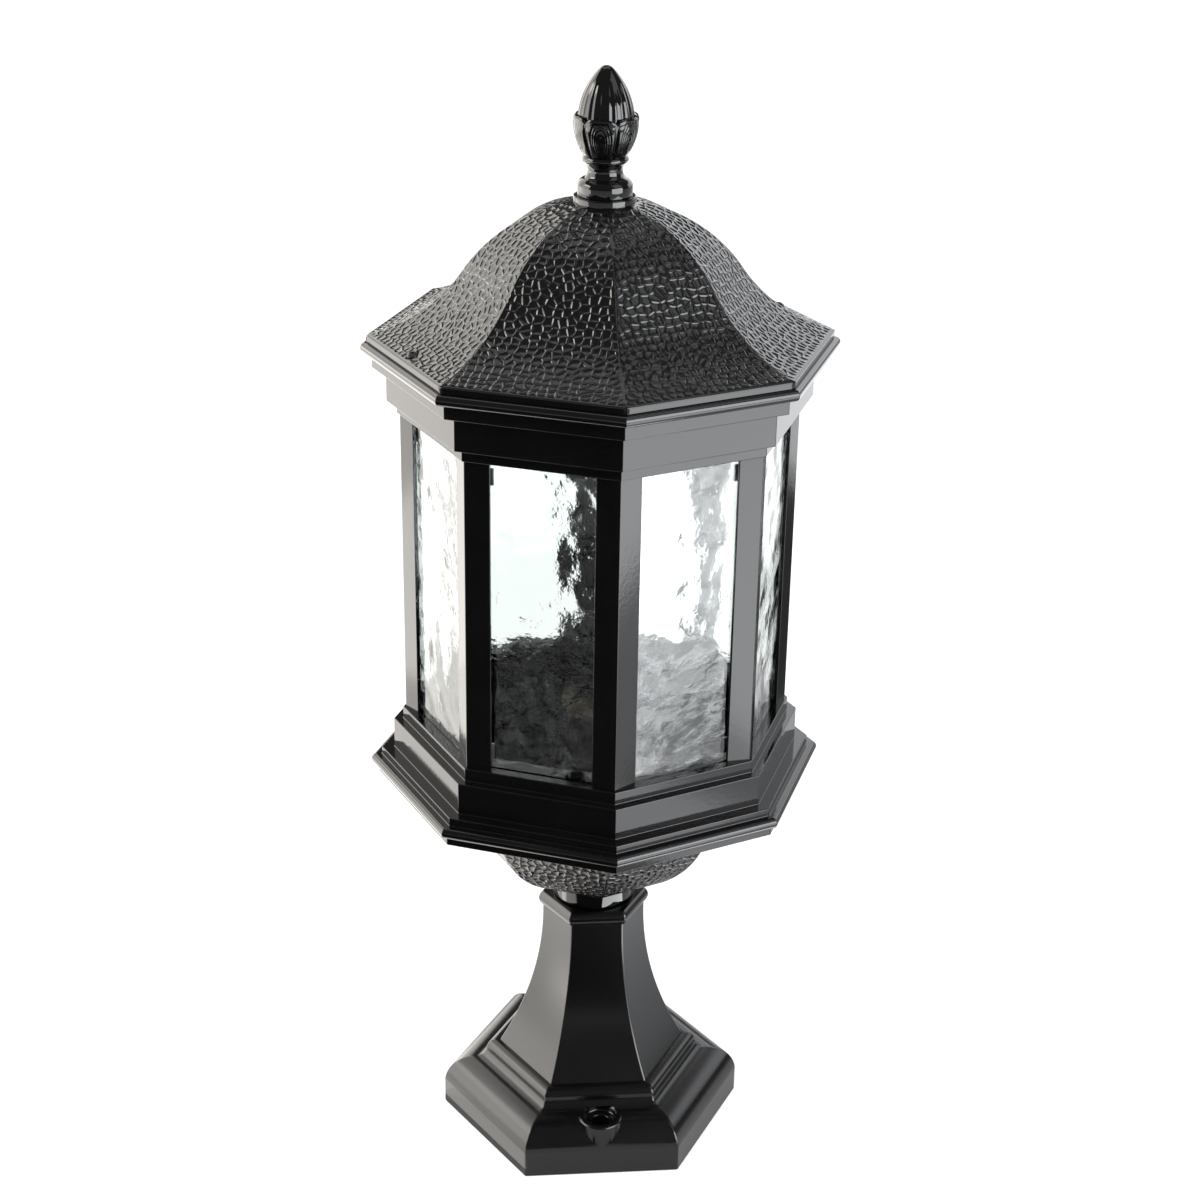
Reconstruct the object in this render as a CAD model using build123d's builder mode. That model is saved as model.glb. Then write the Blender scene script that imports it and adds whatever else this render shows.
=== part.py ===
"""Octagonal pillar light on a hexagonal trumpet pedestal, in millimetres, +Z up.

The front corner of the lantern and the front face of the pedestal look towards -Y.
Polygon sizes are across flats. Each level slice of a casting is a regular polygon, so a casting is
drawn once, as the outline of one face, and mitred with the same outline turned to the other faces.
"""

import os
from math import cos, radians, sin, sqrt

from build123d import *

os.makedirs("parts", exist_ok=True)

# Pedestal, from the floor up
foot_flats = 139.0
foot_height = 14.5
ovolo_flats = 111.2
ovolo_height = 13.9
ovolo_crown = 3.5
foot_round = 4.5
cove_height = 5.1
torus_flats = 99.0
torus_height = 5.0
trumpet_flats = 86.4
trumpet_height = 81.5
trumpet_ledge = 1.8
neck_flats = 46.8
neck_height = 3.0
collar_flats = 50.8
collar_height = 8.0
pedestal_wall = 4.5
foot_wall = 5.0
throat_drop = 5.0
collar_plate = 8.0

# Screw bosses on the pedestal's front and back faces
boss_count = 2
boss_circle = 115.2
boss_diameter = 23.2
boss_height = 28.4
anchor_hole = 9.5
anchor_recess = 17.0
anchor_recess_depth = 3.5
boss_edge = 0.8

# Neck ring and bowl
ring_diameter = 43.0
ring_height = 12.0
ring_edge = 1.5
bowl_radius = 71.0
bowl_foot_flats = 47.0
bowl_wall = 3.0
bowl_plate = 5.0
bowl_flange = 9.0
bowl_flange_thickness = 3.0

# Mouldings, shared by the sill frame and the cornice frame
bead_flats = 212.5
bead_radius = 2.7
fillet_flats = 202.6
band_flats = 190.6
edge_flats = 181.8
frame_wall = 4.0
frame_web = 3.5
frame_opening = 148.0

# Sill frame heights
plinth_flats = 205.8
plinth_height = 4.5
ledge_height = 4.0
sill_band_height = 16.0
sill_edge_height = 6.4
floor_web = 4.5

# Posts and panes
post_length = 156.4
post_corner = 97.0
post_angle = 120.0
post_leg = 12.0
post_sheet = 2.0
port_diameter = 5.6
port_hole = 3.0
port_setback = 3.7
port_stem = 2.4
glass_thickness = 3.0
glass_width = 59.0

# Cornice heights
cornice_edge_height = 6.0
frieze_height = 16.8
cornice_fillet_height = 7.1

# Roof
eave_flats = 207.0
lip_height = 3.5
dome_radius = 72.4
dome_drop = 7.7
dome_slope = 57.4
roof_wall = 3.0
skirt_depth = 5.0
skirt_thickness = 2.5
land_diameter = 29.5
land_rise = 1.5
pad_diameter = 24.0
pad_depth = 3.0

# Finial, from its foot up
finial_foot_diameter = 25.9
finial_foot_height = 4.3
finial_shoulder_height = 4.0
finial_neck_diameter = 16.3
finial_neck_height = 7.0
finial_neck_flare = 1.3
finial_ring_diameter = 21.6
finial_ring_height = 3.4
finial_ring_round = 1.0
cup_base_diameter = 20.4
cup_diameter = 30.5
cup_height = 18.6
cup_lip = 2.5
cup_wall = 1.6
cup_bed_diameter = 25.0
acorn_diameter = 26.4
acorn_sink = 3.5
acorn_rise = 22.1
nose_radius = 4.6
flute_count = 24
flute_radius = 1.2
flute_depth = 0.6
flute_lift = 1.5
petal_count = 6
petal_notch = 2.6
petal_turn = 45.0

# Lampholder for an E27 lamp, on the tube's upper end
lamp_thread = 26.6
lamp_sleeve_wall = 0.7
lamp_sleeve_length = 21.0
lamp_rim = 2.0
holder_diameter = 42.0
holder_wall = 2.2
holder_entry_diameter = 17.0
holder_entry_height = 6.0
holder_cone_height = 7.0
holder_collar_height = 11.0
holder_shell_height = 40.0
holder_core_height = 12.0
contact_diameter = 8.0
contact_height = 3.0

# Tube and fasteners
tube_diameter = 10.0
tube_bore = 7.0
tube_tail = 5.0
tube_rise = 26.0
nut_flats = 17.0
nut_height = 8.0
lock_nut_height = 4.0
washer_diameter = 30.0
washer_thickness = 2.0
stud_diameter = 6.0
stud_grip = 18.0
stud_tail = 3.0
stud_nut_flats = 10.0
stud_nut_height = 5.0
stud_washer_diameter = 18.0
stud_washer_thickness = 1.2
roof_screw_diameter = 3.0
roof_screw_head = 5.6
roof_screw_head_height = 2.0
roof_screw_length = 16.0
roof_screw_inset = 5.5
post_screw_diameter = 2.8
post_screw_head = 5.0
post_screw_head_height = 2.0
post_screw_grip = 12.0
bowl_screw_diameter = 4.0
bowl_screw_head = 7.0
bowl_screw_head_height = 2.6
bowl_screw_count = 4
earth_screw_diameter = 4.0
earth_screw_head = 6.4
earth_screw_head_height = 2.4
earth_screw_circle = 41.0
earth_screw_depth = 4.0
terminal_diameter = 3.0
terminal_head = 5.0
terminal_head_height = 2.0
terminal_length = 5.0
terminal_circle = 18.0
clip_sheet = 1.0
clip_height = 8.0
clip_reach = 4.0
clip_offset = 4.2
clip_screw_diameter = 2.2
clip_screw_head = 4.2
clip_screw_head_height = 1.4

# Clearances
thread_gap = 0.05
hole_gap = 0.3
seat_gap = 0.3
skirt_gap = 0.6
glass_gap = 0.4
clip_gap = 0.4

# Levels
ovolo_z = foot_height
cove_z = ovolo_z + ovolo_height
torus_z = cove_z + cove_height
trumpet_z = torus_z + torus_height
neck_z = trumpet_z + trumpet_height
collar_z = neck_z + neck_height
pedestal_top = collar_z + collar_height
plate_z = pedestal_top - collar_plate
bowl_z = pedestal_top + ring_height
bowl_floor = bowl_z + bowl_plate
bowl_rim_z = bowl_z + sqrt(bowl_radius**2 - (bowl_foot_flats / 2) ** 2)
sill_z = bowl_rim_z - floor_web
sill_bead_z = sill_z + plinth_height + bead_radius
sill_ledge_z = sill_bead_z + bead_radius
sill_band_z = sill_ledge_z + ledge_height
sill_edge_z = sill_band_z + sill_band_height
sill_top = sill_edge_z + sill_edge_height
cornice_z = sill_top + post_length
frieze_z = cornice_z + cornice_edge_height
cornice_fillet_z = frieze_z + frieze_height
cornice_bead_z = cornice_fillet_z + cornice_fillet_height + bead_radius
cornice_top = cornice_bead_z + bead_radius
eave_z = cornice_top + lip_height
dome_z = eave_z - dome_drop
land_z = dome_z + dome_radius + land_rise
pad_z = dome_z + dome_radius - roof_wall - pad_depth
holder_z = bowl_floor + washer_thickness + nut_height + tube_rise
lock_nut_z = holder_z - lock_nut_height

# Plan sizes
half_angle = 22.5
octagon_faces = [half_angle * (2 * i + 1) for i in range(8)]
octagon_corners = [half_angle * 2 * i for i in range(8)]
hexagon_faces = [30 + 60 * i for i in range(6)]
boss_faces = [-90 + 360 / boss_count * i for i in range(boss_count)]
roof_screw_faces = [octagon_faces[0], octagon_faces[4]]
corner_ratio = cos(radians(half_angle))
side_ratio = sin(radians(half_angle))
frame_bore = band_flats - 2 * frame_wall
edge_bore = edge_flats - 2 * frame_wall
post_bend = radians(post_angle / 2)
post_turn = radians(90 - half_angle) - post_bend
glass_face = post_corner * corner_ratio - post_leg * sin(post_turn) - post_sheet * cos(post_turn)
glass_back = glass_face - glass_thickness
post_fold = post_corner - post_sheet / sin(post_bend)
port_radius = post_fold - port_setback
reach = 2 * bead_flats

# Roof section: a dome struck from the axis, then a hollow flare that leaves it smoothly
dome_break = dome_radius * sin(radians(dome_slope))
dome_rise = dome_radius * cos(radians(dome_slope))
flare_run = eave_flats / 2 - dome_break
flare_fall = dome_z + dome_rise - eave_z
flare_turn = 2 * (dome_break * flare_run - dome_rise * flare_fall)
flare_radius = dome_radius * (flare_run**2 + flare_fall**2) / flare_turn
flare_x = dome_break * (1 + flare_radius / dome_radius)
flare_z = dome_z + dome_rise * (1 + flare_radius / dome_radius)
skirt_outer = frame_bore / 2 - skirt_gap
skirt_inner = skirt_outer - skirt_thickness
roof_screw_radius = eave_flats / 2 - roof_screw_inset
roof_screw_edge = roof_screw_radius + roof_screw_head / 2
roof_screw_z = flare_z - sqrt(flare_radius**2 - (roof_screw_edge - flare_x) ** 2)


def upright(angle):
    """Plane through the axis, with x along the face or corner at this angle and y up."""
    out = Vector(1, 0, 0).rotate(Axis.Z, angle)
    return Plane(origin=(0, 0, 0), x_dir=out, z_dir=out.rotate(Axis.Z, -90))


def level(angle, distance, height):
    """Level plane at a distance from the axis, with x pointing outwards at this angle."""
    out = Vector(1, 0, 0).rotate(Axis.Z, angle)
    return Plane(origin=out * distance + Vector(0, 0, height), x_dir=out, z_dir=(0, 0, 1))


def outward(angle, distance, height):
    """Upright plane square to this direction, at a distance from the axis."""
    out = Vector(1, 0, 0).rotate(Axis.Z, angle)
    return Plane(origin=out * distance + Vector(0, 0, height), x_dir=out.rotate(Axis.Z, 90), z_dir=out)


def mitred(faces, outline):
    """Solid with regular polygon slices, from the right half of its outline at one face."""
    with BuildPart() as form:
        for i, angle in enumerate(faces[: len(faces) // 2]):
            with BuildSketch(upright(angle)):
                with BuildLine():
                    outline()
                    mirror(about=Plane.YZ)
                make_face()
            extrude(amount=reach, both=True, mode=Mode.INTERSECT if i else Mode.ADD)
    return form.part


def pedestal_outline():
    Line((0, pedestal_top), (neck_flats / 2, pedestal_top))
    collar_mid = (collar_flats / 2, collar_z + collar_height / 2)
    ThreePointArc((neck_flats / 2, pedestal_top), collar_mid, (neck_flats / 2, collar_z))
    Line((neck_flats / 2, collar_z), (neck_flats / 2, neck_z))
    TangentArc((neck_flats / 2, neck_z), (trumpet_flats / 2, trumpet_z), tangent=(0, -1))
    ledge = trumpet_flats / 2 + trumpet_ledge
    Line((trumpet_flats / 2, trumpet_z), (ledge, trumpet_z))
    TangentArc((ledge, trumpet_z), (torus_flats / 2, torus_z), tangent=(1, 0))
    TangentArc((torus_flats / 2, torus_z), (ovolo_flats / 2, cove_z), tangent=(0, -1))
    run, rise = (foot_flats - ovolo_flats) / 2, ovolo_height
    chord = sqrt(run**2 + rise**2)
    ovolo_radius = (chord**2 / 4 + ovolo_crown**2) / (2 * ovolo_crown)
    middle = Vector((foot_flats + ovolo_flats) / 4, (cove_z + ovolo_z) / 2)
    crown = Vector(rise, run) / chord
    centre = middle + crown * (ovolo_crown - ovolo_radius)
    round_x = foot_flats / 2 - foot_round
    round_z = centre.Y + sqrt((ovolo_radius - foot_round) ** 2 - (round_x - centre.X) ** 2)
    ovolo_end = centre + (Vector(round_x, round_z) - centre) * (ovolo_radius / (ovolo_radius - foot_round))
    ovolo = ThreePointArc((ovolo_flats / 2, cove_z), middle + crown * ovolo_crown, ovolo_end)
    TangentArc(ovolo @ 1, (foot_flats / 2, round_z), tangent=ovolo % 1)
    Polyline((foot_flats / 2, round_z), (foot_flats / 2, 0), (0, 0))


def pedestal_hollow():
    throat = neck_flats / 2 - pedestal_wall
    flare = trumpet_flats / 2 - pedestal_wall
    foot = foot_flats / 2 - foot_wall
    throat_z = neck_z - throat_drop
    torus_mid = torus_z + torus_height / 2
    Polyline((0, plate_z), (throat, plate_z), (throat, throat_z))
    TangentArc((throat, throat_z), (flare, torus_mid), tangent=(0, -1))
    Polyline(
        (flare, torus_mid),
        (ovolo_flats / 2 - foot_wall, cove_z - foot_wall),
        (foot, ovolo_z - foot_wall),
        (foot, 0),
        (0, 0),
    )


pedestal_form = mitred(hexagon_faces, pedestal_outline)
pedestal_void = mitred(hexagon_faces, pedestal_hollow)
with BuildPart() as boss:
    with BuildSketch():
        Circle(boss_diameter / 2)
    extrude(amount=boss_height)
    fillet(boss.edges().group_by(Axis.Z)[-1], boss_edge)
with BuildPart() as pedestal:
    add(pedestal_form)
    add(pedestal_void, mode=Mode.SUBTRACT)
    with Locations([level(angle, boss_circle / 2, 0) for angle in boss_faces]):
        add(boss.part)
    with Locations([level(angle, boss_circle / 2, boss_height) for angle in boss_faces]):
        CounterBoreHole(anchor_hole / 2, anchor_recess / 2, anchor_recess_depth, depth=boss_height)
    with Locations((0, 0, pedestal_top)):
        Hole(tube_diameter / 2 + hole_gap, depth=collar_plate)
pedestal.part.label = "pedestal"
export_step(pedestal.part, "parts/pedestal.step")

with BuildPart() as neck_ring:
    with BuildSketch(Plane.XY.offset(pedestal_top)):
        Circle(ring_diameter / 2)
        Circle(tube_diameter / 2 + hole_gap, mode=Mode.SUBTRACT)
    extrude(amount=ring_height)
    fillet(neck_ring.edges().filter_by(GeomType.CIRCLE).group_by(SortBy.RADIUS)[-1], ring_edge)
neck_ring.part.label = "neck_ring"
export_step(neck_ring.part, "parts/neck_ring.step")


def bowl_outline():
    foot = bowl_foot_flats / 2
    flange = bowl_radius + bowl_flange
    top = bowl_rim_z + bowl_flange_thickness
    Line((0, bowl_z), (foot, bowl_z))
    TangentArc((bowl_radius, bowl_rim_z), (foot, bowl_z), tangent=(0, -1))
    Polyline((bowl_radius, bowl_rim_z), (flange, bowl_rim_z), (flange, top), (0, top))


def bowl_hollow():
    inner = bowl_radius - bowl_wall
    foot = sqrt(inner**2 - (bowl_rim_z - bowl_floor) ** 2)
    top = bowl_rim_z + bowl_flange_thickness
    Line((0, bowl_floor), (foot, bowl_floor))
    TangentArc((inner, bowl_rim_z), (foot, bowl_floor), tangent=(0, -1))
    Polyline((inner, bowl_rim_z), (inner, top), (0, top))


bowl_form = mitred(octagon_faces, bowl_outline)
bowl_void = mitred(octagon_faces, bowl_hollow)
bowl_screw_faces = [octagon_faces[0] + 360 / bowl_screw_count * i for i in range(bowl_screw_count)]
bowl_screw_radius = bowl_radius + bowl_flange / 2
bowl_flange_top = bowl_rim_z + bowl_flange_thickness
with BuildPart() as bowl:
    add(bowl_form)
    add(bowl_void, mode=Mode.SUBTRACT)
    with Locations((0, 0, bowl_floor)):
        Hole(tube_diameter / 2 + hole_gap, depth=bowl_plate)
    with Locations((earth_screw_circle / 2, 0, bowl_floor)):
        Hole(earth_screw_diameter / 2 + thread_gap, depth=earth_screw_depth)
    for angle in bowl_screw_faces:
        with Locations(level(angle, bowl_screw_radius, bowl_flange_top)):
            Hole(bowl_screw_diameter / 2 + hole_gap, depth=bowl_flange_thickness)
bowl.part.label = "bowl"
export_step(bowl.part, "parts/bowl.step")


def sill_outline():
    edge, band, step = edge_flats / 2, band_flats / 2, fillet_flats / 2
    bead, plinth = bead_flats / 2 - bead_radius, plinth_flats / 2
    Polyline(
        (0, sill_top),
        (edge, sill_top),
        (edge, sill_edge_z),
        (band, sill_edge_z),
        (band, sill_band_z),
        (step, sill_band_z),
        (step, sill_ledge_z),
        (bead, sill_ledge_z),
    )
    ThreePointArc((bead, sill_ledge_z), (bead_flats / 2, sill_bead_z), (bead, sill_bead_z - bead_radius))
    plinth_z = sill_z + plinth_height
    Polyline((bead, sill_bead_z - bead_radius), (plinth, plinth_z), (plinth, sill_z), (0, sill_z))


def sill_hollow():
    opening, edge, bore = frame_opening / 2, edge_bore / 2, frame_bore / 2
    web = bowl_radius + seat_gap
    Polyline(
        (0, sill_top),
        (opening, sill_top),
        (opening, sill_top - frame_web),
        (edge, sill_top - frame_web),
        (edge, sill_edge_z - frame_web),
        (bore, sill_edge_z - frame_web),
        (bore, bowl_rim_z),
        (web, bowl_rim_z),
        (web, sill_z),
        (0, sill_z),
    )


sill_form = mitred(octagon_faces, sill_outline)
sill_void = mitred(octagon_faces, sill_hollow)
with BuildPart() as sill_frame:
    add(sill_form)
    add(sill_void, mode=Mode.SUBTRACT)
    for angle in octagon_corners:
        with Locations(level(angle, port_radius, sill_top)):
            Hole(post_screw_diameter / 2 + hole_gap, depth=frame_web)
    for angle in bowl_screw_faces:
        with Locations(level(angle, bowl_screw_radius, bowl_rim_z)):
            Hole(bowl_screw_diameter / 2 + thread_gap, depth=floor_web)
sill_frame.part.label = "sill_frame"
export_step(sill_frame.part, "parts/sill_frame.step")


def cornice_outline():
    edge, band, step = edge_flats / 2, band_flats / 2, fillet_flats / 2
    bead = bead_flats / 2 - bead_radius
    Line((0, cornice_top), (bead, cornice_top))
    ThreePointArc((bead, cornice_top), (bead_flats / 2, cornice_bead_z), (bead, cornice_bead_z - bead_radius))
    Polyline(
        (bead, cornice_bead_z - bead_radius),
        (step, cornice_bead_z - bead_radius),
        (step, cornice_fillet_z),
        (band, cornice_fillet_z),
        (band, frieze_z),
        (edge, frieze_z),
        (edge, cornice_z),
        (0, cornice_z),
    )


def cornice_hollow():
    opening, edge, bore = frame_opening / 2, edge_bore / 2, frame_bore / 2
    Polyline(
        (0, cornice_top),
        (bore, cornice_top),
        (bore, frieze_z + frame_web),
        (edge, frieze_z + frame_web),
        (edge, cornice_z + frame_web),
        (opening, cornice_z + frame_web),
        (opening, cornice_z),
        (0, cornice_z),
    )


cornice_form = mitred(octagon_faces, cornice_outline)
cornice_void = mitred(octagon_faces, cornice_hollow)
with BuildPart() as cornice_frame:
    add(cornice_form)
    add(cornice_void, mode=Mode.SUBTRACT)
    for angle in octagon_corners:
        with Locations(level(angle, port_radius, cornice_z + frame_web)):
            Hole(post_screw_diameter / 2 + hole_gap, depth=frame_web)
    for angle in roof_screw_faces:
        with Locations(level(angle, roof_screw_radius, cornice_top)):
            Hole(roof_screw_diameter / 2 + hole_gap, depth=roof_screw_length)
cornice_frame.part.label = "cornice_frame"
export_step(cornice_frame.part, "parts/cornice_frame.step")

clip_face = port_radius - port_diameter / 2 - clip_gap
clip_fold = (glass_back - clip_face * corner_ratio) / side_ratio
clip_levels = {"lower": sill_top + clip_offset, "upper": cornice_z - clip_offset - clip_height}

# Posts: angle sections with a screw port on a stem behind the fold, one at each corner
for i, angle in enumerate(octagon_corners):
    with BuildPart() as corner_post:
        with BuildSketch(level(angle, post_corner, sill_top)):
            tip = (-post_leg * cos(post_bend), post_leg * sin(post_bend))
            inner_tip = (tip[0] - post_sheet * sin(post_bend), tip[1] - post_sheet * cos(post_bend))
            with BuildLine():
                Polyline((post_fold - post_corner, 0), inner_tip, tip, (0, 0))
                mirror(about=Plane.XZ)
            make_face()
            with Locations((post_fold - post_corner - port_setback / 2, 0)):
                Rectangle(port_setback + post_sheet, port_stem)
            with Locations((port_radius - post_corner, 0)):
                Circle(port_diameter / 2)
                Circle(port_hole / 2, mode=Mode.SUBTRACT)
        extrude(amount=post_length)
        for clip_z in clip_levels.values():
            with BuildSketch(outward(angle, port_radius - port_hole / 2, clip_z + clip_height / 2)):
                Circle(clip_screw_diameter / 2 + thread_gap)
            extrude(amount=-port_diameter, mode=Mode.SUBTRACT)
    corner_post.part.label = f"corner_post_{i + 1}"
    export_step(corner_post.part, f"parts/corner_post_{i + 1}.step")

# Panes stand on the sill frame, against the inner edges of the posts' legs
for i, angle in enumerate(octagon_faces):
    with BuildPart() as glass_panel:
        with BuildSketch(level(angle, glass_face - glass_thickness / 2, sill_top)):
            Rectangle(glass_thickness, glass_width)
        extrude(amount=post_length - glass_gap)
    glass_panel.part.label = f"glass_panel_{i + 1}"
    export_step(glass_panel.part, f"parts/glass_panel_{i + 1}.step")

# Clips: folded strips behind the ports that hold the edges of two panes, and their screws
for name, clip_z in clip_levels.items():
    with BuildPart() as glass_clips:
        for angle in octagon_corners:
            end = (-clip_reach * side_ratio, clip_fold + clip_reach * corner_ratio)
            inner_end = (end[0] - clip_sheet * corner_ratio, end[1] - clip_sheet * side_ratio)
            inner_fold = clip_fold - clip_sheet * side_ratio / (1 + corner_ratio)
            with BuildSketch(level(angle, clip_face, clip_z)):
                with BuildLine():
                    Polyline((0, 0), (0, clip_fold), end, inner_end, (-clip_sheet, inner_fold), (-clip_sheet, 0))
                    mirror(about=Plane.XZ)
                make_face()
            extrude(amount=clip_height)
            with BuildSketch(outward(angle, 0, clip_z + clip_height / 2)):
                Circle(clip_screw_diameter / 2 + hole_gap)
            extrude(amount=post_corner, mode=Mode.SUBTRACT)
    glass_clips.part.label = f"glass_clips_{name}"
    export_step(glass_clips.part, f"parts/glass_clips_{name}.step")

clip_screw_seat = clip_face - clip_sheet
with BuildPart() as clip_screws:
    for clip_z in clip_levels.values():
        for angle in octagon_corners:
            with BuildSketch(outward(angle, clip_screw_seat, clip_z + clip_height / 2)):
                Circle(clip_screw_head / 2)
            extrude(amount=-clip_screw_head_height)
            with BuildSketch(outward(angle, clip_screw_seat, clip_z + clip_height / 2)):
                Circle(clip_screw_diameter / 2)
            extrude(amount=port_radius - port_hole / 2 - clip_screw_seat)
clip_screws.part.label = "clip_screws"
export_step(clip_screws.part, "parts/clip_screws.step")

# Screws through the frames' webs into the ports of the posts
post_screw_seats = {"lower": (sill_top - frame_web, 1), "upper": (cornice_z + frame_web, -1)}
for name, (seat_z, inward) in post_screw_seats.items():
    with BuildPart() as post_screws:
        for angle in octagon_corners:
            with BuildSketch(level(angle, port_radius, seat_z)):
                Circle(post_screw_head / 2)
            extrude(amount=-inward * post_screw_head_height)
            with BuildSketch(level(angle, port_radius, seat_z)):
                Circle(post_screw_diameter / 2)
            extrude(amount=inward * (frame_web + post_screw_grip))
    post_screws.part.label = f"post_screws_{name}"
    export_step(post_screws.part, f"parts/post_screws_{name}.step")

with BuildPart() as bowl_screws:
    for angle in bowl_screw_faces:
        with BuildSketch(level(angle, bowl_screw_radius, bowl_flange_top)):
            Circle(bowl_screw_head / 2)
        extrude(amount=bowl_screw_head_height)
        with BuildSketch(level(angle, bowl_screw_radius, bowl_flange_top)):
            Circle(bowl_screw_diameter / 2)
        extrude(amount=-bowl_flange_thickness - floor_web)
bowl_screws.part.label = "bowl_screws"
export_step(bowl_screws.part, "parts/bowl_screws.step")

with BuildPart() as earth_screw:
    with BuildSketch(level(0, earth_screw_circle / 2, bowl_floor)):
        Circle(earth_screw_head / 2)
    extrude(amount=earth_screw_head_height)
    with BuildSketch(level(0, earth_screw_circle / 2, bowl_floor)):
        Circle(earth_screw_diameter / 2)
    extrude(amount=-earth_screw_depth)
earth_screw.part.label = "earth_screw"
export_step(earth_screw.part, "parts/earth_screw.step")


def roof_outline():
    dome = TangentArc((0, dome_z + dome_radius), (dome_break, dome_z + dome_rise), tangent=(1, 0))
    TangentArc(dome @ 1, (eave_flats / 2, eave_z), tangent=dome % 1)
    Polyline(
        (eave_flats / 2, eave_z),
        (eave_flats / 2, cornice_top),
        (skirt_outer, cornice_top),
        (skirt_outer, cornice_top - skirt_depth),
        (0, cornice_top - skirt_depth),
    )


def roof_hollow():
    inside = 1 - roof_wall / dome_radius
    dome_end = (dome_break * inside, dome_z + dome_rise * inside)
    flare_end = flare_z - sqrt((flare_radius + roof_wall) ** 2 - (skirt_inner - flare_x) ** 2)
    dome = TangentArc((0, dome_z + dome_radius - roof_wall), dome_end, tangent=(1, 0))
    TangentArc(dome @ 1, (skirt_inner, flare_end), tangent=dome % 1)
    skirt_z = cornice_top - skirt_depth
    Polyline((skirt_inner, flare_end), (skirt_inner, skirt_z), (0, skirt_z))


roof_form = mitred(octagon_faces, roof_outline)
roof_void = mitred(octagon_faces, roof_hollow)
with BuildPart() as roof:
    add(roof_form)
    add(roof_void, mode=Mode.SUBTRACT)
    with BuildSketch(Plane.XY.offset(land_z)):
        Circle(land_diameter / 2)
    extrude(amount=-land_rise - roof_wall)
    with BuildSketch(Plane.XY.offset(pad_z)):
        Circle(pad_diameter / 2)
    extrude(amount=pad_depth + roof_wall)
    with Locations((0, 0, land_z)):
        Hole(stud_diameter / 2 + hole_gap, depth=land_z - pad_z)
    for angle in roof_screw_faces:
        with BuildSketch(level(angle, roof_screw_radius, roof_screw_z)):
            Circle(roof_screw_head / 2 + hole_gap)
        extrude(amount=roof_screw_head, mode=Mode.SUBTRACT)
        with Locations(level(angle, roof_screw_radius, roof_screw_z)):
            Hole(roof_screw_diameter / 2 + hole_gap, depth=roof_screw_z - cornice_top)
roof.part.label = "roof"
export_step(roof.part, "parts/roof.step")

with BuildPart() as roof_screws:
    for angle in roof_screw_faces:
        with BuildSketch(level(angle, roof_screw_radius, roof_screw_z)):
            Circle(roof_screw_head / 2)
        extrude(amount=roof_screw_head_height)
        with BuildSketch(level(angle, roof_screw_radius, roof_screw_z)):
            Circle(roof_screw_diameter / 2)
        extrude(amount=-roof_screw_length)
roof_screws.part.label = "roof_screws"
export_step(roof_screws.part, "parts/roof_screws.step")

# Finial: turned foot, neck and ring, a petalled cup and a fluted acorn
shoulder_z = land_z + finial_foot_height
neck_low = shoulder_z + finial_shoulder_height
neck_high = neck_low + finial_neck_height
cup_z = neck_high + finial_ring_height
cup_top = cup_z + cup_height
acorn_z = cup_top - acorn_sink
acorn_tip = cup_top + acorn_rise
acorn_radius = acorn_diameter / 2
nose_z = acorn_tip - nose_radius
nose_lift = nose_z - acorn_z
ogive_radius = (acorn_radius**2 + nose_lift**2 - nose_radius**2) / (2 * (acorn_radius - nose_radius))
nose_ratio = nose_radius / (ogive_radius - nose_radius)
nose_point = ((ogive_radius - acorn_radius) * nose_ratio, nose_z + nose_lift * nose_ratio)
flute_start = (acorn_radius + flute_radius - flute_depth, acorn_z - flute_radius)
flute_end = (nose_point[0] + flute_radius + flute_lift, nose_z)
with BuildPart() as flute:
    with BuildLine(Plane.XZ) as groove:
        TangentArc(flute_start, flute_end, tangent=(0, 1))
    with BuildSketch(Plane(groove.line @ 0, z_dir=groove.line % 0)):
        Circle(flute_radius)
    sweep(path=groove.line)
with BuildPart() as acorn:
    with BuildSketch(Plane.XZ):
        with BuildLine():
            Polyline((0, acorn_tip), (0, acorn_z), (acorn_radius, acorn_z))
            ogive = TangentArc((acorn_radius, acorn_z), nose_point, tangent=(0, 1))
            TangentArc(ogive @ 1, (0, acorn_tip), tangent=ogive % 1)
        make_face()
    revolve(axis=Axis.Z)
    with PolarLocations(0, flute_count):
        add(flute.part, mode=Mode.SUBTRACT)
with BuildPart() as finial:
    with BuildSketch(Plane.XZ):
        with BuildLine():
            foot, cup = finial_foot_diameter / 2, cup_diameter / 2
            neck = finial_neck_diameter / 2
            flared = neck + finial_neck_flare
            ring = finial_ring_diameter / 2
            quirk = ring - finial_ring_round
            Polyline((0, land_z), (foot, land_z), (foot, shoulder_z))
            TangentArc((foot, shoulder_z), (flared, neck_low), tangent=(0, 1))
            ThreePointArc((flared, neck_low), (neck, (neck_low + neck_high) / 2), (flared, neck_high))
            Line((flared, neck_high), (quirk, neck_high))
            ThreePointArc((quirk, neck_high), (ring, (neck_high + cup_z) / 2), (quirk, cup_z))
            Line((quirk, cup_z), (cup_base_diameter / 2, cup_z))
            TangentArc((cup, cup_top - cup_lip), (cup_base_diameter / 2, cup_z), tangent=(0, -1))
            Polyline(
                (cup, cup_top - cup_lip),
                (cup, cup_top),
                (cup - cup_wall, cup_top),
                (cup_bed_diameter / 2, acorn_z),
                (0, acorn_z),
                (0, land_z),
            )
        make_face()
    revolve(axis=Axis.Z)
    for i in range(petal_count):
        with BuildSketch(outward(petal_turn + 360 / petal_count * i, 0, cup_top)):
            Circle(petal_notch)
        extrude(amount=cup_diameter, mode=Mode.SUBTRACT)
    add(acorn.part)
    with BuildSketch(Plane.XY.offset(land_z)):
        Circle(stud_diameter / 2 + thread_gap)
    extrude(amount=stud_grip, mode=Mode.SUBTRACT)
finial.part.label = "finial"
export_step(finial.part, "parts/finial.step")

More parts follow.
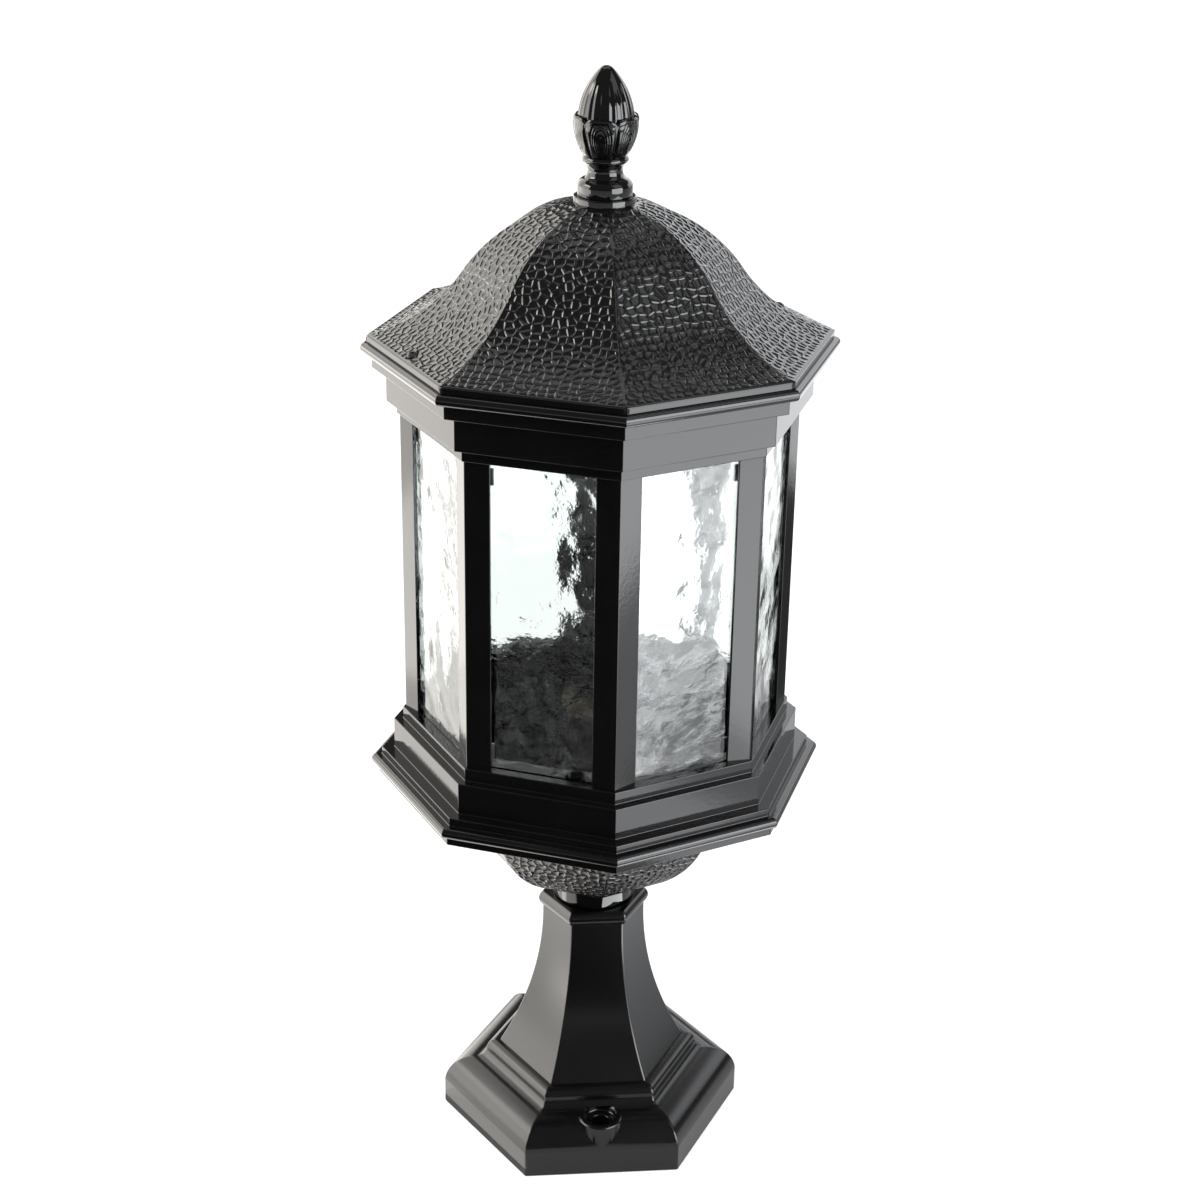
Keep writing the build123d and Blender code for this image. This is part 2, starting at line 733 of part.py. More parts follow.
# Round and hexagonal hardware on the axis: name, flats or diameter, bore, bottom, height
tube_hole = tube_diameter + 2 * thread_gap
stud_hole = stud_diameter + 2 * thread_gap
stud_nut_z = pad_z - stud_washer_thickness - stud_nut_height
pedestal_nut_z = plate_z - washer_thickness - nut_height
washers = {
    "finial_washer": (stud_washer_diameter, stud_hole, pad_z - stud_washer_thickness, stud_washer_thickness),
    "pedestal_washer": (washer_diameter, tube_hole, plate_z - washer_thickness, washer_thickness),
    "bowl_washer": (washer_diameter, tube_hole, bowl_floor, washer_thickness),
}
nuts = {
    "finial_nut": (stud_nut_flats, stud_hole, stud_nut_z, stud_nut_height),
    "pedestal_nut": (nut_flats, tube_hole, pedestal_nut_z, nut_height),
    "bowl_nut": (nut_flats, tube_hole, bowl_floor + washer_thickness, nut_height),
    "lampholder_lock_nut": (nut_flats, tube_hole, lock_nut_z, lock_nut_height),
}
for name, (diameter, bore, bottom, height) in washers.items():
    with BuildPart() as washer:
        with BuildSketch(Plane.XY.offset(bottom)):
            Circle(diameter / 2)
            Circle(bore / 2, mode=Mode.SUBTRACT)
        extrude(amount=height)
    washer.part.label = name
    export_step(washer.part, f"parts/{name}.step")
for name, (flats, bore, bottom, height) in nuts.items():
    with BuildPart() as nut:
        with BuildSketch(Plane.XY.offset(bottom)):
            RegularPolygon(flats / 2, 6, major_radius=False)
            Circle(bore / 2, mode=Mode.SUBTRACT)
        extrude(amount=height)
    nut.part.label = name
    export_step(nut.part, f"parts/{name}.step")

with BuildPart() as finial_stud:
    with BuildSketch(Plane.XY.offset(stud_nut_z - stud_tail)):
        Circle(stud_diameter / 2)
    extrude(amount=land_z + stud_grip - stud_nut_z + stud_tail)
finial_stud.part.label = "finial_stud"
export_step(finial_stud.part, "parts/finial_stud.step")

with BuildPart() as tie_tube:
    tube_z = pedestal_nut_z - tube_tail
    with BuildSketch(Plane.XY.offset(tube_z)):
        Circle(tube_diameter / 2)
        Circle(tube_bore / 2, mode=Mode.SUBTRACT)
    extrude(amount=holder_z + holder_entry_height - tube_z)
tie_tube.part.label = "tie_tube"
export_step(tie_tube.part, "parts/tie_tube.step")

# Lampholder: cap on the tube, core inside it, sleeve and contact on the core, shell over all
cap_radius = holder_diameter / 2 - holder_wall - seat_gap
cone_z = holder_z + holder_entry_height
collar_low = cone_z + holder_cone_height
core_z = collar_low + holder_wall
core_top = core_z + holder_core_height
shell_top = core_z + holder_shell_height
sleeve_radius = lamp_thread / 2 + lamp_sleeve_wall
with BuildPart() as lampholder_cap:
    with BuildSketch(Plane.XZ):
        with BuildLine():
            Polyline(
                (tube_hole / 2, holder_z),
                (holder_entry_diameter / 2, holder_z),
                (holder_entry_diameter / 2, cone_z),
                (cap_radius, collar_low),
                (cap_radius, collar_low + holder_collar_height),
                (cap_radius - holder_wall, collar_low + holder_collar_height),
                (cap_radius - holder_wall, core_z),
                (tube_hole / 2, cone_z + holder_wall),
                close=True,
            )
        make_face()
    revolve(axis=Axis.Z)
lampholder_cap.part.label = "lampholder_cap"
export_step(lampholder_cap.part, "parts/lampholder_cap.step")

with BuildPart() as lampholder_core:
    with BuildSketch(Plane.XY.offset(core_z)):
        Circle(cap_radius - holder_wall - seat_gap)
        with PolarLocations(terminal_circle / 2, 2):
            Circle(terminal_diameter / 2 + thread_gap, mode=Mode.SUBTRACT)
    extrude(amount=holder_core_height)
lampholder_core.part.label = "lampholder_core"
export_step(lampholder_core.part, "parts/lampholder_core.step")

with BuildPart() as terminal_screws:
    with BuildSketch(Plane.XY.offset(core_z)):
        with PolarLocations(terminal_circle / 2, 2):
            Circle(terminal_head / 2)
    extrude(amount=-terminal_head_height)
    with BuildSketch(Plane.XY.offset(core_z)):
        with PolarLocations(terminal_circle / 2, 2):
            Circle(terminal_diameter / 2)
    extrude(amount=terminal_length)
terminal_screws.part.label = "terminal_screws"
export_step(terminal_screws.part, "parts/terminal_screws.step")

with BuildPart() as lamp_sleeve:
    with BuildSketch(Plane.XY.offset(shell_top)):
        Circle(sleeve_radius)
        Circle(lamp_thread / 2, mode=Mode.SUBTRACT)
    extrude(amount=-lamp_sleeve_length)
    with BuildSketch(Plane.XY.offset(shell_top)):
        Circle(sleeve_radius + lamp_rim)
        Circle(lamp_thread / 2, mode=Mode.SUBTRACT)
    extrude(amount=lamp_sleeve_wall)
lamp_sleeve.part.label = "lamp_sleeve"
export_step(lamp_sleeve.part, "parts/lamp_sleeve.step")

with BuildPart() as centre_contact:
    with BuildSketch(Plane.XY.offset(core_top)):
        Circle(contact_diameter / 2)
    extrude(amount=contact_height)
    fillet(centre_contact.edges().group_by(Axis.Z)[-1], contact_height / 2)
centre_contact.part.label = "centre_contact"
export_step(centre_contact.part, "parts/centre_contact.step")

with BuildPart() as lampholder_shell:
    mouth = sleeve_radius + seat_gap
    with BuildSketch(Plane.XZ):
        with BuildLine():
            Polyline(
                (holder_diameter / 2 - holder_wall, core_z),
                (holder_diameter / 2, core_z),
                (holder_diameter / 2, core_top),
                (mouth + holder_wall, core_top + holder_diameter / 2 - mouth - holder_wall),
                (mouth + holder_wall, shell_top),
                (mouth, shell_top),
                (mouth, core_top),
                (holder_diameter / 2 - holder_wall, core_top),
                close=True,
            )
        make_face()
    revolve(axis=Axis.Z)
lampholder_shell.part.label = "lampholder_shell"
export_step(lampholder_shell.part, "parts/lampholder_shell.step")
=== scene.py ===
from cmath import exp, phase
from math import asin, cos, pi, radians, sin, sqrt, tan

import bmesh
import bpy
import numpy as np
from mathutils import Matrix, Vector


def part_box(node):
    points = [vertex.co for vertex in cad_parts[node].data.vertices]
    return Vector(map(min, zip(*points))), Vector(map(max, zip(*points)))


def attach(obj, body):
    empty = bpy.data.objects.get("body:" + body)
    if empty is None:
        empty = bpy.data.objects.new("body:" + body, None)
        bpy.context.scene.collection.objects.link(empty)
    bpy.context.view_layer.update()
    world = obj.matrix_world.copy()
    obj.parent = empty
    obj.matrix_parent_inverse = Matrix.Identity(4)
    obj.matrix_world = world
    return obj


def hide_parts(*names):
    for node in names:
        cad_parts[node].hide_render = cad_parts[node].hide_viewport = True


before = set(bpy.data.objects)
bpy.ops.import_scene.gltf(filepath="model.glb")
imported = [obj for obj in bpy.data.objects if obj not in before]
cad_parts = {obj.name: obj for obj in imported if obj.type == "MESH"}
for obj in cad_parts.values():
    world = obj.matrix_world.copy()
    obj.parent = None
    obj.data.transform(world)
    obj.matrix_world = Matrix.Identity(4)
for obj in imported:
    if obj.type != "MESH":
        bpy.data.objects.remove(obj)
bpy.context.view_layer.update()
scene = bpy.context.scene
mm = 0.001
eighth = radians(22.5)  # half of one octagon side
onAxis = 0.001  # radius in mm that stands for a point on the axis
print("frame loaded,", len(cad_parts), "nodes")


class named(dict):
    # a dictionary of values that can also be read as attributes
    __getattr__ = dict.__getitem__


# Outlines: (distance from the axis, height) in mm

def levels(node):
    low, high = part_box(node)
    return low.z / mm, high.z / mm


def smoothStep(low, high, value):
    t = np.clip((np.asarray(value, float) - low) / (high - low), 0, 1)
    return t * t * (3 - 2 * t)


def swung(centre, first, turn, steps):
    # from first about the centre, both ends included
    spots = [centre + (first - centre) * exp(1j * turn * k / steps) for k in range(steps + 1)]
    return [(spot.real, spot.imag) for spot in spots]


def roundedPath(corners, steps=4, most=0.48):
    # closed outline; a corner's third value is its radius, which uses up at most this share of a side
    path = []
    for i, (x, y, *radius) in enumerate(corners):
        if not radius:
            path.append((x, y))
            continue
        point = complex(x, y)
        back = complex(*corners[i - 1][:2]) - point
        ahead = complex(*corners[(i + 1) % len(corners)][:2]) - point
        half = abs(phase(ahead / back)) / 2
        reach = min(radius[0] / tan(half), most * abs(back), most * abs(ahead))
        toCentre = back / abs(back) + ahead / abs(ahead)
        centre = point + toCentre / abs(toCentre) * reach / cos(half)
        start, end = (point + side / abs(side) * reach for side in (back, ahead))
        path += swung(centre, start, phase((end - centre) / (start - centre)), steps)
    return path


def tangentArc(start, end, heading, steps):
    # leaves start along heading and ends in end
    first, last = complex(*start), complex(*end)
    side = 1j * complex(*heading) / abs(complex(*heading))
    chord = last - first
    centre = first + side * abs(chord) ** 2 / (2 * (chord * side.conjugate()).real)
    return swung(centre, first, phase((last - centre) / (first - centre)), steps)


def threePointArc(start, middle, end, steps):
    a, b, c = complex(*start), complex(*middle), complex(*end)
    w = (c - a) / (b - a)
    centre = a + (b - a) * (w - abs(w) ** 2) / (2j * w.imag)
    turn = phase((b - centre) / (a - centre)) + phase((c - centre) / (b - centre))
    return swung(centre, a, turn, steps)


def arcSpots(centreX, centreZ, radius, start, end, step):
    # (distance, height, run) along an arc whose angles are measured from straight up
    length = abs(radius * (end - start))
    count = round(length / step)
    angles = [start + (end - start) * k / count for k in range(count + 1)]
    return [(centreX + radius * sin(angle), centreZ + radius * cos(angle), length * k / count)
            for k, angle in enumerate(angles)]


def supported(path, margin=0.25):
    # extra points close to both ends of long straight stretches
    spots = []
    for here, there in zip(path, path[1:]):
        first, step = complex(*here), complex(*there) - complex(*here)
        spots.append(here)
        if abs(step) > 4 * margin:
            near = step / abs(step) * margin
            spots += [(spot.real, spot.imag) for spot in (first + near, first + step - near)]
    return spots + path[-1:]


# Rows of points about the axis, and pieces lofted through them

def fullTurn(count):
    return np.arange(count) * 2 * pi / count


def turnedRow(radius, height, swing):
    # radius and height may follow the angle
    return np.stack([radius * np.cos(swing), radius * np.sin(swing), np.broadcast_to(height, swing.shape)], 1)


def polygonRow(sides, apothem, height, corner, steps=4):
    # each corner is an arc of this radius
    middle = np.repeat(fullTurn(sides), steps + 1)
    turn = middle + (np.tile(np.arange(steps + 1), sides) / steps - 0.5) * 2 * pi / sides
    return turnedRow((apothem - corner) / cos(pi / sides), height, middle) + turnedRow(corner, 0, turn)


def newPiece(name, mesh, merge=1e-6, sliver=1e-7):
    shape = bmesh.new()
    shape.from_mesh(mesh)
    bmesh.ops.remove_doubles(shape, verts=shape.verts, dist=merge)
    bmesh.ops.dissolve_degenerate(shape, edges=shape.edges, dist=sliver)
    bmesh.ops.recalc_face_normals(shape, faces=shape.faces)
    shape.to_mesh(mesh)
    shape.free()
    piece = bpy.data.objects.new(name, mesh)
    scene.collection.objects.link(piece)
    return piece


def meshOf(shape, name):
    mesh = bpy.data.meshes.new(name)
    shape.to_mesh(mesh)
    shape.free()
    return mesh


def loftPiece(name, rows, closed=True):
    count = len(rows[0])
    faces = []
    for r in range(len(rows) if closed else len(rows) - 1):
        low, high = r * count, (r + 1) % len(rows) * count
        for k in range(count):
            ahead = (k + 1) % count
            faces.append((low + k, low + ahead, high + ahead, high + k))
    mesh = bpy.data.meshes.new(name)
    mesh.from_pydata((np.concatenate(rows) * mm).tolist(), [], faces)
    return newPiece(name, mesh)


def lathePiece(name, outline, count, centre=(0, 0), closed=True):
    rows = [turnedRow(max(radius, onAxis), z, fullTurn(count)) + (*centre, 0) for radius, z in outline]
    return loftPiece(name, rows, closed)


def settle(piece):
    # the evaluated shape becomes the plain mesh
    graph = bpy.context.evaluated_depsgraph_get()
    mesh = bpy.data.meshes.new_from_object(piece.evaluated_get(graph))
    before = piece.data
    piece.modifiers.clear()
    piece.data = mesh
    bpy.data.meshes.remove(before)
    mesh.name = piece.name


def combine(piece, tools):
    # exact booleans with helper objects, which then go
    for tool, action in tools:
        cut = piece.modifiers.new(tool.name, "BOOLEAN")
        cut.object, cut.operation, cut.solver = tool, action, "EXACT"
    settle(piece)
    for tool, action in tools:
        bpy.data.objects.remove(tool)


def paint(piece, material):
    piece.data.materials.clear()
    piece.data.materials.append(material)


def shade(piece, sharpAngle):
    piece.data.shade_smooth()
    piece.data.set_sharp_from_angle(angle=radians(sharpAngle))


def smoothCasting(piece, sharpAngle=50):
    # large flat faces keep their own normals, small rounds blend
    shade(piece, sharpAngle)
    weighted = piece.modifiers.new("weighted", "WEIGHTED_NORMAL")
    weighted.keep_sharp, weighted.weight = True, 90
    settle(piece)


def standFor(piece, body, slotName, *nodes):
    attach(piece, body)
    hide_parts(*nodes)
    print("  ", piece.name, len(piece.data.polygons), "faces for", ", ".join(nodes))


# Node helpers, for geometry and shaders alike

def plug(tree, node, values):
    # sockets are linked, plain values set
    for key, value in values.items():
        if isinstance(value, bpy.types.NodeSocket):
            tree.links.new(value, node.inputs[key])
        else:
            node.inputs[key].default_value = value
    return node


def addNode(tree, kind, values=None, **settings):
    node = tree.nodes.new(kind)
    for key, value in settings.items():
        setattr(node, key, value)
    return plug(tree, node, values or {})


def math(tree, operation, first, second):
    return addNode(tree, "ShaderNodeMath", {0: first, 1: second}, operation=operation).outputs[0]


def product(tree, first, *others):
    for other in others:
        first = math(tree, "MULTIPLY", first, other)
    return first


def between(tree, factor, low, high):
    return addNode(tree, "ShaderNodeMapRange", {"Value": factor, "To Min": low, "To Max": high}).outputs[0]


def newGroup(name, kind, inputs, outputs):
    # a socket's kind is named, or follows from its default
    tree = bpy.data.node_groups.new(name, kind)
    for way, sockets in (("INPUT", inputs), ("OUTPUT", outputs)):
        for label, value in sockets.items():
            isNamed = isinstance(value, str)
            socketKind = "NodeSocket" + (value if isNamed else type(value).__name__.capitalize())
            socket = tree.interface.new_socket(label, in_out=way, socket_type=socketKind)
            if not isNamed:
                socket.default_value = value
    return tree, tree.nodes.new("NodeGroupInput").outputs, tree.nodes.new("NodeGroupOutput")


def geometryTree(name, numbers):
    inputs = {"Geometry": "Geometry", **numbers, "Material": "Material"}
    return newGroup(name, "GeometryNodeTree", inputs, {"Geometry": "Geometry"})


def closeTree(tree, geometry, given, result):
    realized = addNode(tree, "GeometryNodeRealizeInstances", {"Geometry": geometry}).outputs[0]
    dressed = addNode(tree, "GeometryNodeSetMaterial", {"Geometry": realized, "Material": given["Material"]})
    plug(tree, result, {"Geometry": dressed.outputs[0]})
    return tree


def pushFaces(tree, push, given, result):
    # along the normals, then the common end
    normal = addNode(tree, "GeometryNodeInputNormal").outputs[0]
    offset = addNode(tree, "ShaderNodeVectorMath", {0: normal, "Scale": push}, operation="SCALE").outputs[0]
    moved = addNode(tree, "GeometryNodeSetPosition", {"Geometry": given["Geometry"], "Offset": offset})
    return closeTree(tree, moved.outputs[0], given, result)


def stored(tree, name, kind="FLOAT"):
    return addNode(tree, "GeometryNodeInputNamedAttribute", {"Name": name}, data_type=kind).outputs[0]


def runTree(piece, tree, values):
    modifier = piece.modifiers.new(tree.name, "NODES")
    modifier.node_group = tree
    for item in tree.interface.items_tree:
        if item.in_out == "INPUT" and item.name in values:
            modifier[item.identifier] = values[item.name]
    settle(piece)


def ringOfCopiesTree():
    # turns copies of the input about the axis, at equal angles
    tree, given, result = geometryTree("ringOfCopies", {"Count": 8, "First Angle": 0.0})
    points = addNode(tree, "GeometryNodePoints", {"Count": given["Count"]})
    index = addNode(tree, "GeometryNodeInputIndex").outputs[0]
    step = math(tree, "DIVIDE", 2 * pi, given["Count"])
    turn = math(tree, "ADD", math(tree, "MULTIPLY", index, step), given["First Angle"])
    angles = addNode(tree, "ShaderNodeCombineXYZ", {"Z": turn})
    rotation = addNode(tree, "FunctionNodeEulerToRotation", {"Euler": angles.outputs[0]})
    copies = addNode(tree, "GeometryNodeInstanceOnPoints", {"Points": points.outputs[0],
        "Instance": given["Geometry"], "Rotation": rotation.outputs[0]})
    return closeTree(tree, copies.outputs[0], given, result)


def cellFloor(tree, place, cell, jitter, flank):
    # 0 on the ridges between hammer marks, 1 on their floors
    cells = addNode(tree, "ShaderNodeTexVoronoi", {"Vector": place, "Scale": math(tree, "DIVIDE", 1.0, cell),
        "Randomness": jitter}, voronoi_dimensions="2D", feature="DISTANCE_TO_EDGE")
    away = math(tree, "MULTIPLY", cells.outputs["Distance"], cell)
    return addNode(tree, "ShaderNodeMapRange", {"Value": away, "From Max": flank},
        interpolation_type="SMOOTHSTEP").outputs[0]


def hammeredTree():
    # hammer marks with flat floors that meet in narrow ridges, laid out on each face's own plane
    numbers = {"Cell": 4.0, "Depth": 0.0003, "Jitter": 0.7, "Flank": 1.4}
    tree, given, result = geometryTree("hammered", numbers)
    place = stored(tree, "facePlace", "FLOAT_VECTOR")
    floor = cellFloor(tree, place, given["Cell"], given["Jitter"], given["Flank"])
    push = product(tree, floor, stored(tree, "dimple"), given["Depth"], -1.0)
    return pushFaces(tree, push, given, result)


def rippledTree():
    # rolled water glass: long soft waves and a finer dapple on both faces
    numbers = {"Wave": 60.0, "Wave Height": 0.0004, "Dapple": 200.0, "Dapple Height": 0.00005, "Seed": 0.0}
    tree, given, result = geometryTree("rippled", numbers)
    place = addNode(tree, "GeometryNodeInputPosition").outputs[0]
    heights = []
    for label in ("Wave", "Dapple"):
        sockets = {"Vector": place, "W": given["Seed"], "Scale": given[label], "Detail": 0.0}
        waves = addNode(tree, "ShaderNodeTexNoise", sockets, noise_dimensions="4D").outputs[0]
        heights.append(product(tree, math(tree, "SUBTRACT", waves, 0.5), given[label + " Height"]))
    push = product(tree, math(tree, "ADD", *heights), stored(tree, "ripple"))
    return pushFaces(tree, push, given, result)


ringOfCopies, hammered, rippled = ringOfCopiesTree(), hammeredTree(), rippledTree()


# Shader groups and materials

def objectPlace(tree):
    return addNode(tree, "ShaderNodeTexCoord").outputs["Object"]


def noise(tree, place, scale, detail=2.0):
    return addNode(tree, "ShaderNodeTexNoise", {"Vector": place, "Scale": scale, "Detail": detail}).outputs


def orangePeelGroup():
    # the soft pebble of a sprayed and baked coat
    inputs, outputs = {"Scale": 500.0, "Broad Scale": 30.0}, {"Height": "Float", "Mottle": "Float"}
    tree, given, result = newGroup("orangePeel", "ShaderNodeTree", inputs, outputs)
    place = objectPlace(tree)
    plug(tree, result, {"Height": noise(tree, place, given["Scale"])[0],
        "Mottle": noise(tree, place, given["Broad Scale"], 3.0)[0]})
    return tree


def flecksGroup():
    # rare pinholes and chips, one in a few dozen cells
    inputs = {"Scale": 90.0, "Share": 0.03, "Size": 0.06, "Wobble Scale": 900.0, "Wobble": 0.0006}
    tree, given, result = newGroup("flecks", "ShaderNodeTree", inputs, {"Mask": "Float"})
    place = objectPlace(tree)
    wobble = noise(tree, place, given["Wobble Scale"])["Color"]
    shift = addNode(tree, "ShaderNodeVectorMath", {0: wobble, "Scale": given["Wobble"]}, operation="SCALE")
    spot = addNode(tree, "ShaderNodeVectorMath", {0: place, 1: shift.outputs[0]}, operation="ADD")
    sockets = {"Vector": spot.outputs[0], "Scale": given["Scale"]}
    cells = addNode(tree, "ShaderNodeTexVoronoi", sockets).outputs
    drawn = addNode(tree, "ShaderNodeSeparateColor", {"Color": cells["Color"]}).outputs
    picked = math(tree, "LESS_THAN", drawn[0], given["Share"])
    inside = math(tree, "LESS_THAN", cells["Distance"], product(tree, given["Size"], drawn[1]))
    plug(tree, result, {"Mask": product(tree, picked, inside)})
    return tree


orangePeel, flecks = orangePeelGroup(), flecksGroup()


def newMaterial(name):
    material = bpy.data.materials.new(name)
    material.use_nodes = True
    tree = material.node_tree
    return material, tree, tree.nodes["Principled BSDF"]


def addGroup(tree, group, values):
    return addNode(tree, "ShaderNodeGroup", values, node_tree=group).outputs


def ramp(tree, factor, dark, light, low=0.3, high=0.7):
    node = addNode(tree, "ShaderNodeValToRGB", {"Fac": factor})
    for element, spot, colour in zip(node.color_ramp.elements, (low, high), (dark, light)):
        element.position, element.color = spot, (*colour, 1)
    return node.outputs[0]


def bump(tree, height, distance):
    return addNode(tree, "ShaderNodeBump", {"Height": height, "Distance": distance}).outputs[0]


def paintMaterial(name, look):
    material, tree, shader = newMaterial(name)
    peel = addGroup(tree, orangePeel, {"Scale": look.peelScale})
    chips = addGroup(tree, flecks, {"Share": look.chipShare})["Mask"]
    coat = ramp(tree, peel["Mottle"], look.dark, look.light)
    colour = addNode(tree, "ShaderNodeMix", {0: chips, 6: coat, 7: (*look.chip, 1)}, data_type="RGBA")
    rough = between(tree, peel["Mottle"], look.smooth, look.rough)
    height = math(tree, "SUBTRACT", peel["Height"], product(tree, chips, look.chipPit))
    plug(tree, shader, {"Base Color": colour.outputs[2],
        "Roughness": math(tree, "ADD", rough, product(tree, chips, look.chipRough)),
        "Normal": bump(tree, height, look.peelHeight)})
    return material


glossLook = named(dark=(0.0035, 0.0035, 0.0037), light=(0.0052, 0.0052, 0.0054), chip=(0.10, 0.10, 0.10),
    smooth=0.07, rough=0.12, peelScale=520.0, peelHeight=0.00002,
    chipShare=0.012, chipPit=3.0, chipRough=0.4)
satinLook = named(glossLook, smooth=0.17, rough=0.23, peelHeight=0.000012, chipShare=0.004)
turnedLook = named(glossLook, smooth=0.045, rough=0.07, peelHeight=0.000002, chipShare=0.0)
glossBlack = paintMaterial("glossBlack", glossLook)
satinBlack = paintMaterial("satinBlack", satinLook)
turnedBlack = paintMaterial("turnedBlack", turnedLook)


hammerLook = named(cell=4.1, depth=0.29, jitter=0.72, flank=1.5, grid=0.72, smoothHip=0.45, fullHip=1.2,
    fade=(0.8, 3.0), faceStep=7.3, sharp=60, fineFlank=0.9, fineDepth=0.0002,
    floorColour=(0.0045, 0.0045, 0.0048), ridgeColour=(0.008, 0.008, 0.008), ridgeStart=0.2,
    sheen=0.07, smooth=0.13, rough=0.19, grainScale=900.0, grain=0.06)


def hammeredMaterial():
    # the ridges' crisp tops come from the same cells as their shape
    look = hammerLook
    material, tree, shader = newMaterial("hammeredBlack")
    place = addNode(tree, "ShaderNodeAttribute", attribute_name="facePlace").outputs["Vector"]
    mask = addNode(tree, "ShaderNodeAttribute", attribute_name="dimple").outputs["Fac"]
    floor = cellFloor(tree, place, look.cell, look.jitter, look.fineFlank)
    ridge = product(tree, math(tree, "SUBTRACT", 1.0, floor), mask)
    peel = addGroup(tree, orangePeel, {"Scale": look.grainScale})
    dull = math(tree, "SUBTRACT", between(tree, peel["Mottle"], look.smooth, look.rough), look.sheen)
    height = math(tree, "ADD", ridge, product(tree, peel["Height"], look.grain))
    plug(tree, shader, {
        "Base Color": ramp(tree, ridge, look.floorColour, look.ridgeColour, look.ridgeStart, 1.0),
        "Roughness": math(tree, "ADD", product(tree, dull, mask), look.sheen),
        "Normal": bump(tree, height, look.fineDepth)})
    return material


glassLook = named(dark=(0.915, 0.955, 0.94), light=(0.945, 0.98, 0.965), seedScale=330.0, seedDetail=3.0,
    relief=0.00011, index=1.57)


def glassMaterial():
    look = glassLook
    material, tree, shader = newMaterial("waterGlass")
    seeds = noise(tree, objectPlace(tree), look.seedScale, look.seedDetail)[0]
    plug(tree, shader, {"Base Color": ramp(tree, seeds, look.dark, look.light),
        "Transmission Weight": 1.0, "IOR": look.index, "Roughness": 0.0,
        "Normal": bump(tree, seeds, look.relief)})
    return material


# name: dark, light, least and most roughness, metallic, scale of the grain
hardwareLooks = {
    "zincSteel": ((0.42, 0.43, 0.44), (0.60, 0.61, 0.61), 0.28, 0.45, 1.0, 1400.0),
    "contactBrass": ((0.06, 0.05, 0.03), (0.11, 0.09, 0.06), 0.30, 0.38, 1.0, 1200.0),
    "holderCeramic": ((0.70, 0.68, 0.63), (0.80, 0.78, 0.74), 0.25, 0.40, 0.0, 1500.0),
    "holderBlack": ((0.012, 0.011, 0.010), (0.022, 0.020, 0.018), 0.25, 0.40, 0.0, 900.0),
    "blackScrew": ((0.012, 0.012, 0.012), (0.03, 0.03, 0.03), 0.25, 0.40, 0.0, 1600.0),
}
hardwareRelief = 0.00001


def hardwareMaterial(name, dark, light, smooth, rough, metallic, grain):
    material, tree, shader = newMaterial(name)
    peel = addGroup(tree, orangePeel, {"Scale": grain})
    plug(tree, shader, {"Base Color": ramp(tree, peel["Mottle"], dark, light),
        "Roughness": between(tree, peel["Height"], smooth, rough), "Metallic": metallic,
        "Normal": bump(tree, peel["Height"], hardwareRelief)})
    return material


hammeredBlack, waterGlass = hammeredMaterial(), glassMaterial()
hardware = {name: hardwareMaterial(name, *look) for name, look in hardwareLooks.items()}
print("materials made")


# Hammered octagonal shells: the roof and the bowl

def facetRow(apothem, height, columns, run=None, isRound=False):
    # one closed row of points around the octagon, with hammer coordinates
    corner = np.repeat(np.arange(8), columns)
    across = 2 * np.tile(np.arange(columns), 8) / columns - 1
    face = (2 * corner + 1) * eighth
    half = apothem * tan(eighth)
    x = apothem * np.cos(face) - across * half * np.sin(face)
    y = apothem * np.sin(face) + across * half * np.cos(face)
    if isRound:
        swing = np.arctan2(y, x)
        x, y = apothem * np.cos(swing), apothem * np.sin(swing)
    toHip = half * (1 - np.abs(across))
    mask = smoothStep(hammerLook.smoothHip, hammerLook.fullHip, toHip) if run is not None else 0 * x
    place = np.stack([across * half + corner * hammerLook.faceStep * hammerLook.cell,
        np.full_like(x, run or 0), 0 * x], 1)
    return dict(points=np.stack([x, y, np.full_like(x, height)], 1), columns=columns, mask=mask, place=place)


def hammeredRows(spots):
    # dimples die out towards the first and the last row
    rows = []
    for apothem, height, run in spots:
        row = facetRow(apothem, height, round(2 * apothem * tan(eighth) / hammerLook.grid), run)
        for toEnd in (run, spots[-1][2] - run):
            row["mask"] = row["mask"] * smoothStep(*hammerLook.fade, toEnd)
        rows.append(row)
    return rows


def stitchRows(faces, startA, countA, startB, countB):
    # walks along two rows with different numbers of columns
    for i in range(8):
        a = b = 0
        while a < countA or b < countB:
            here, nextHere = (startA + (i * countA + a + ahead) % (8 * countA) for ahead in (0, 1))
            there, nextThere = (startB + (i * countB + b + ahead) % (8 * countB) for ahead in (0, 1))
            if countA == countB:
                faces.append((here, nextHere, nextThere, there))
                a, b = a + 1, b + 1
            elif b == countB or (a < countA and (a + 1) / countA <= (b + 1) / countB):
                faces.append((here, nextHere, there))
                a += 1
            else:
                faces.append((here, nextThere, there))
                b += 1


def hammeredPiece(name, rows):
    starts = np.cumsum([0] + [len(row["points"]) for row in rows])
    faces = []
    for r, row in enumerate(rows):
        other = (r + 1) % len(rows)
        stitchRows(faces, int(starts[r]), row["columns"], int(starts[other]), rows[other]["columns"])
    mesh = bpy.data.meshes.new(name)
    mesh.from_pydata((np.concatenate([row["points"] for row in rows]) * mm).tolist(), [], faces)
    place = mesh.attributes.new("facePlace", "FLOAT_VECTOR", "POINT")
    place.data.foreach_set("vector", np.concatenate([row["place"] for row in rows]).ravel())
    mask = mesh.attributes.new("dimple", "FLOAT", "POINT")
    mask.data.foreach_set("value", np.concatenate([row["mask"] for row in rows]))
    piece, look = newPiece(name, mesh), hammerLook
    runTree(piece, hammered, {"Cell": look.cell, "Depth": look.depth * mm, "Jitter": look.jitter,
        "Flank": look.flank, "Material": hammeredBlack})
    shade(piece, look.sharp)
    return piece


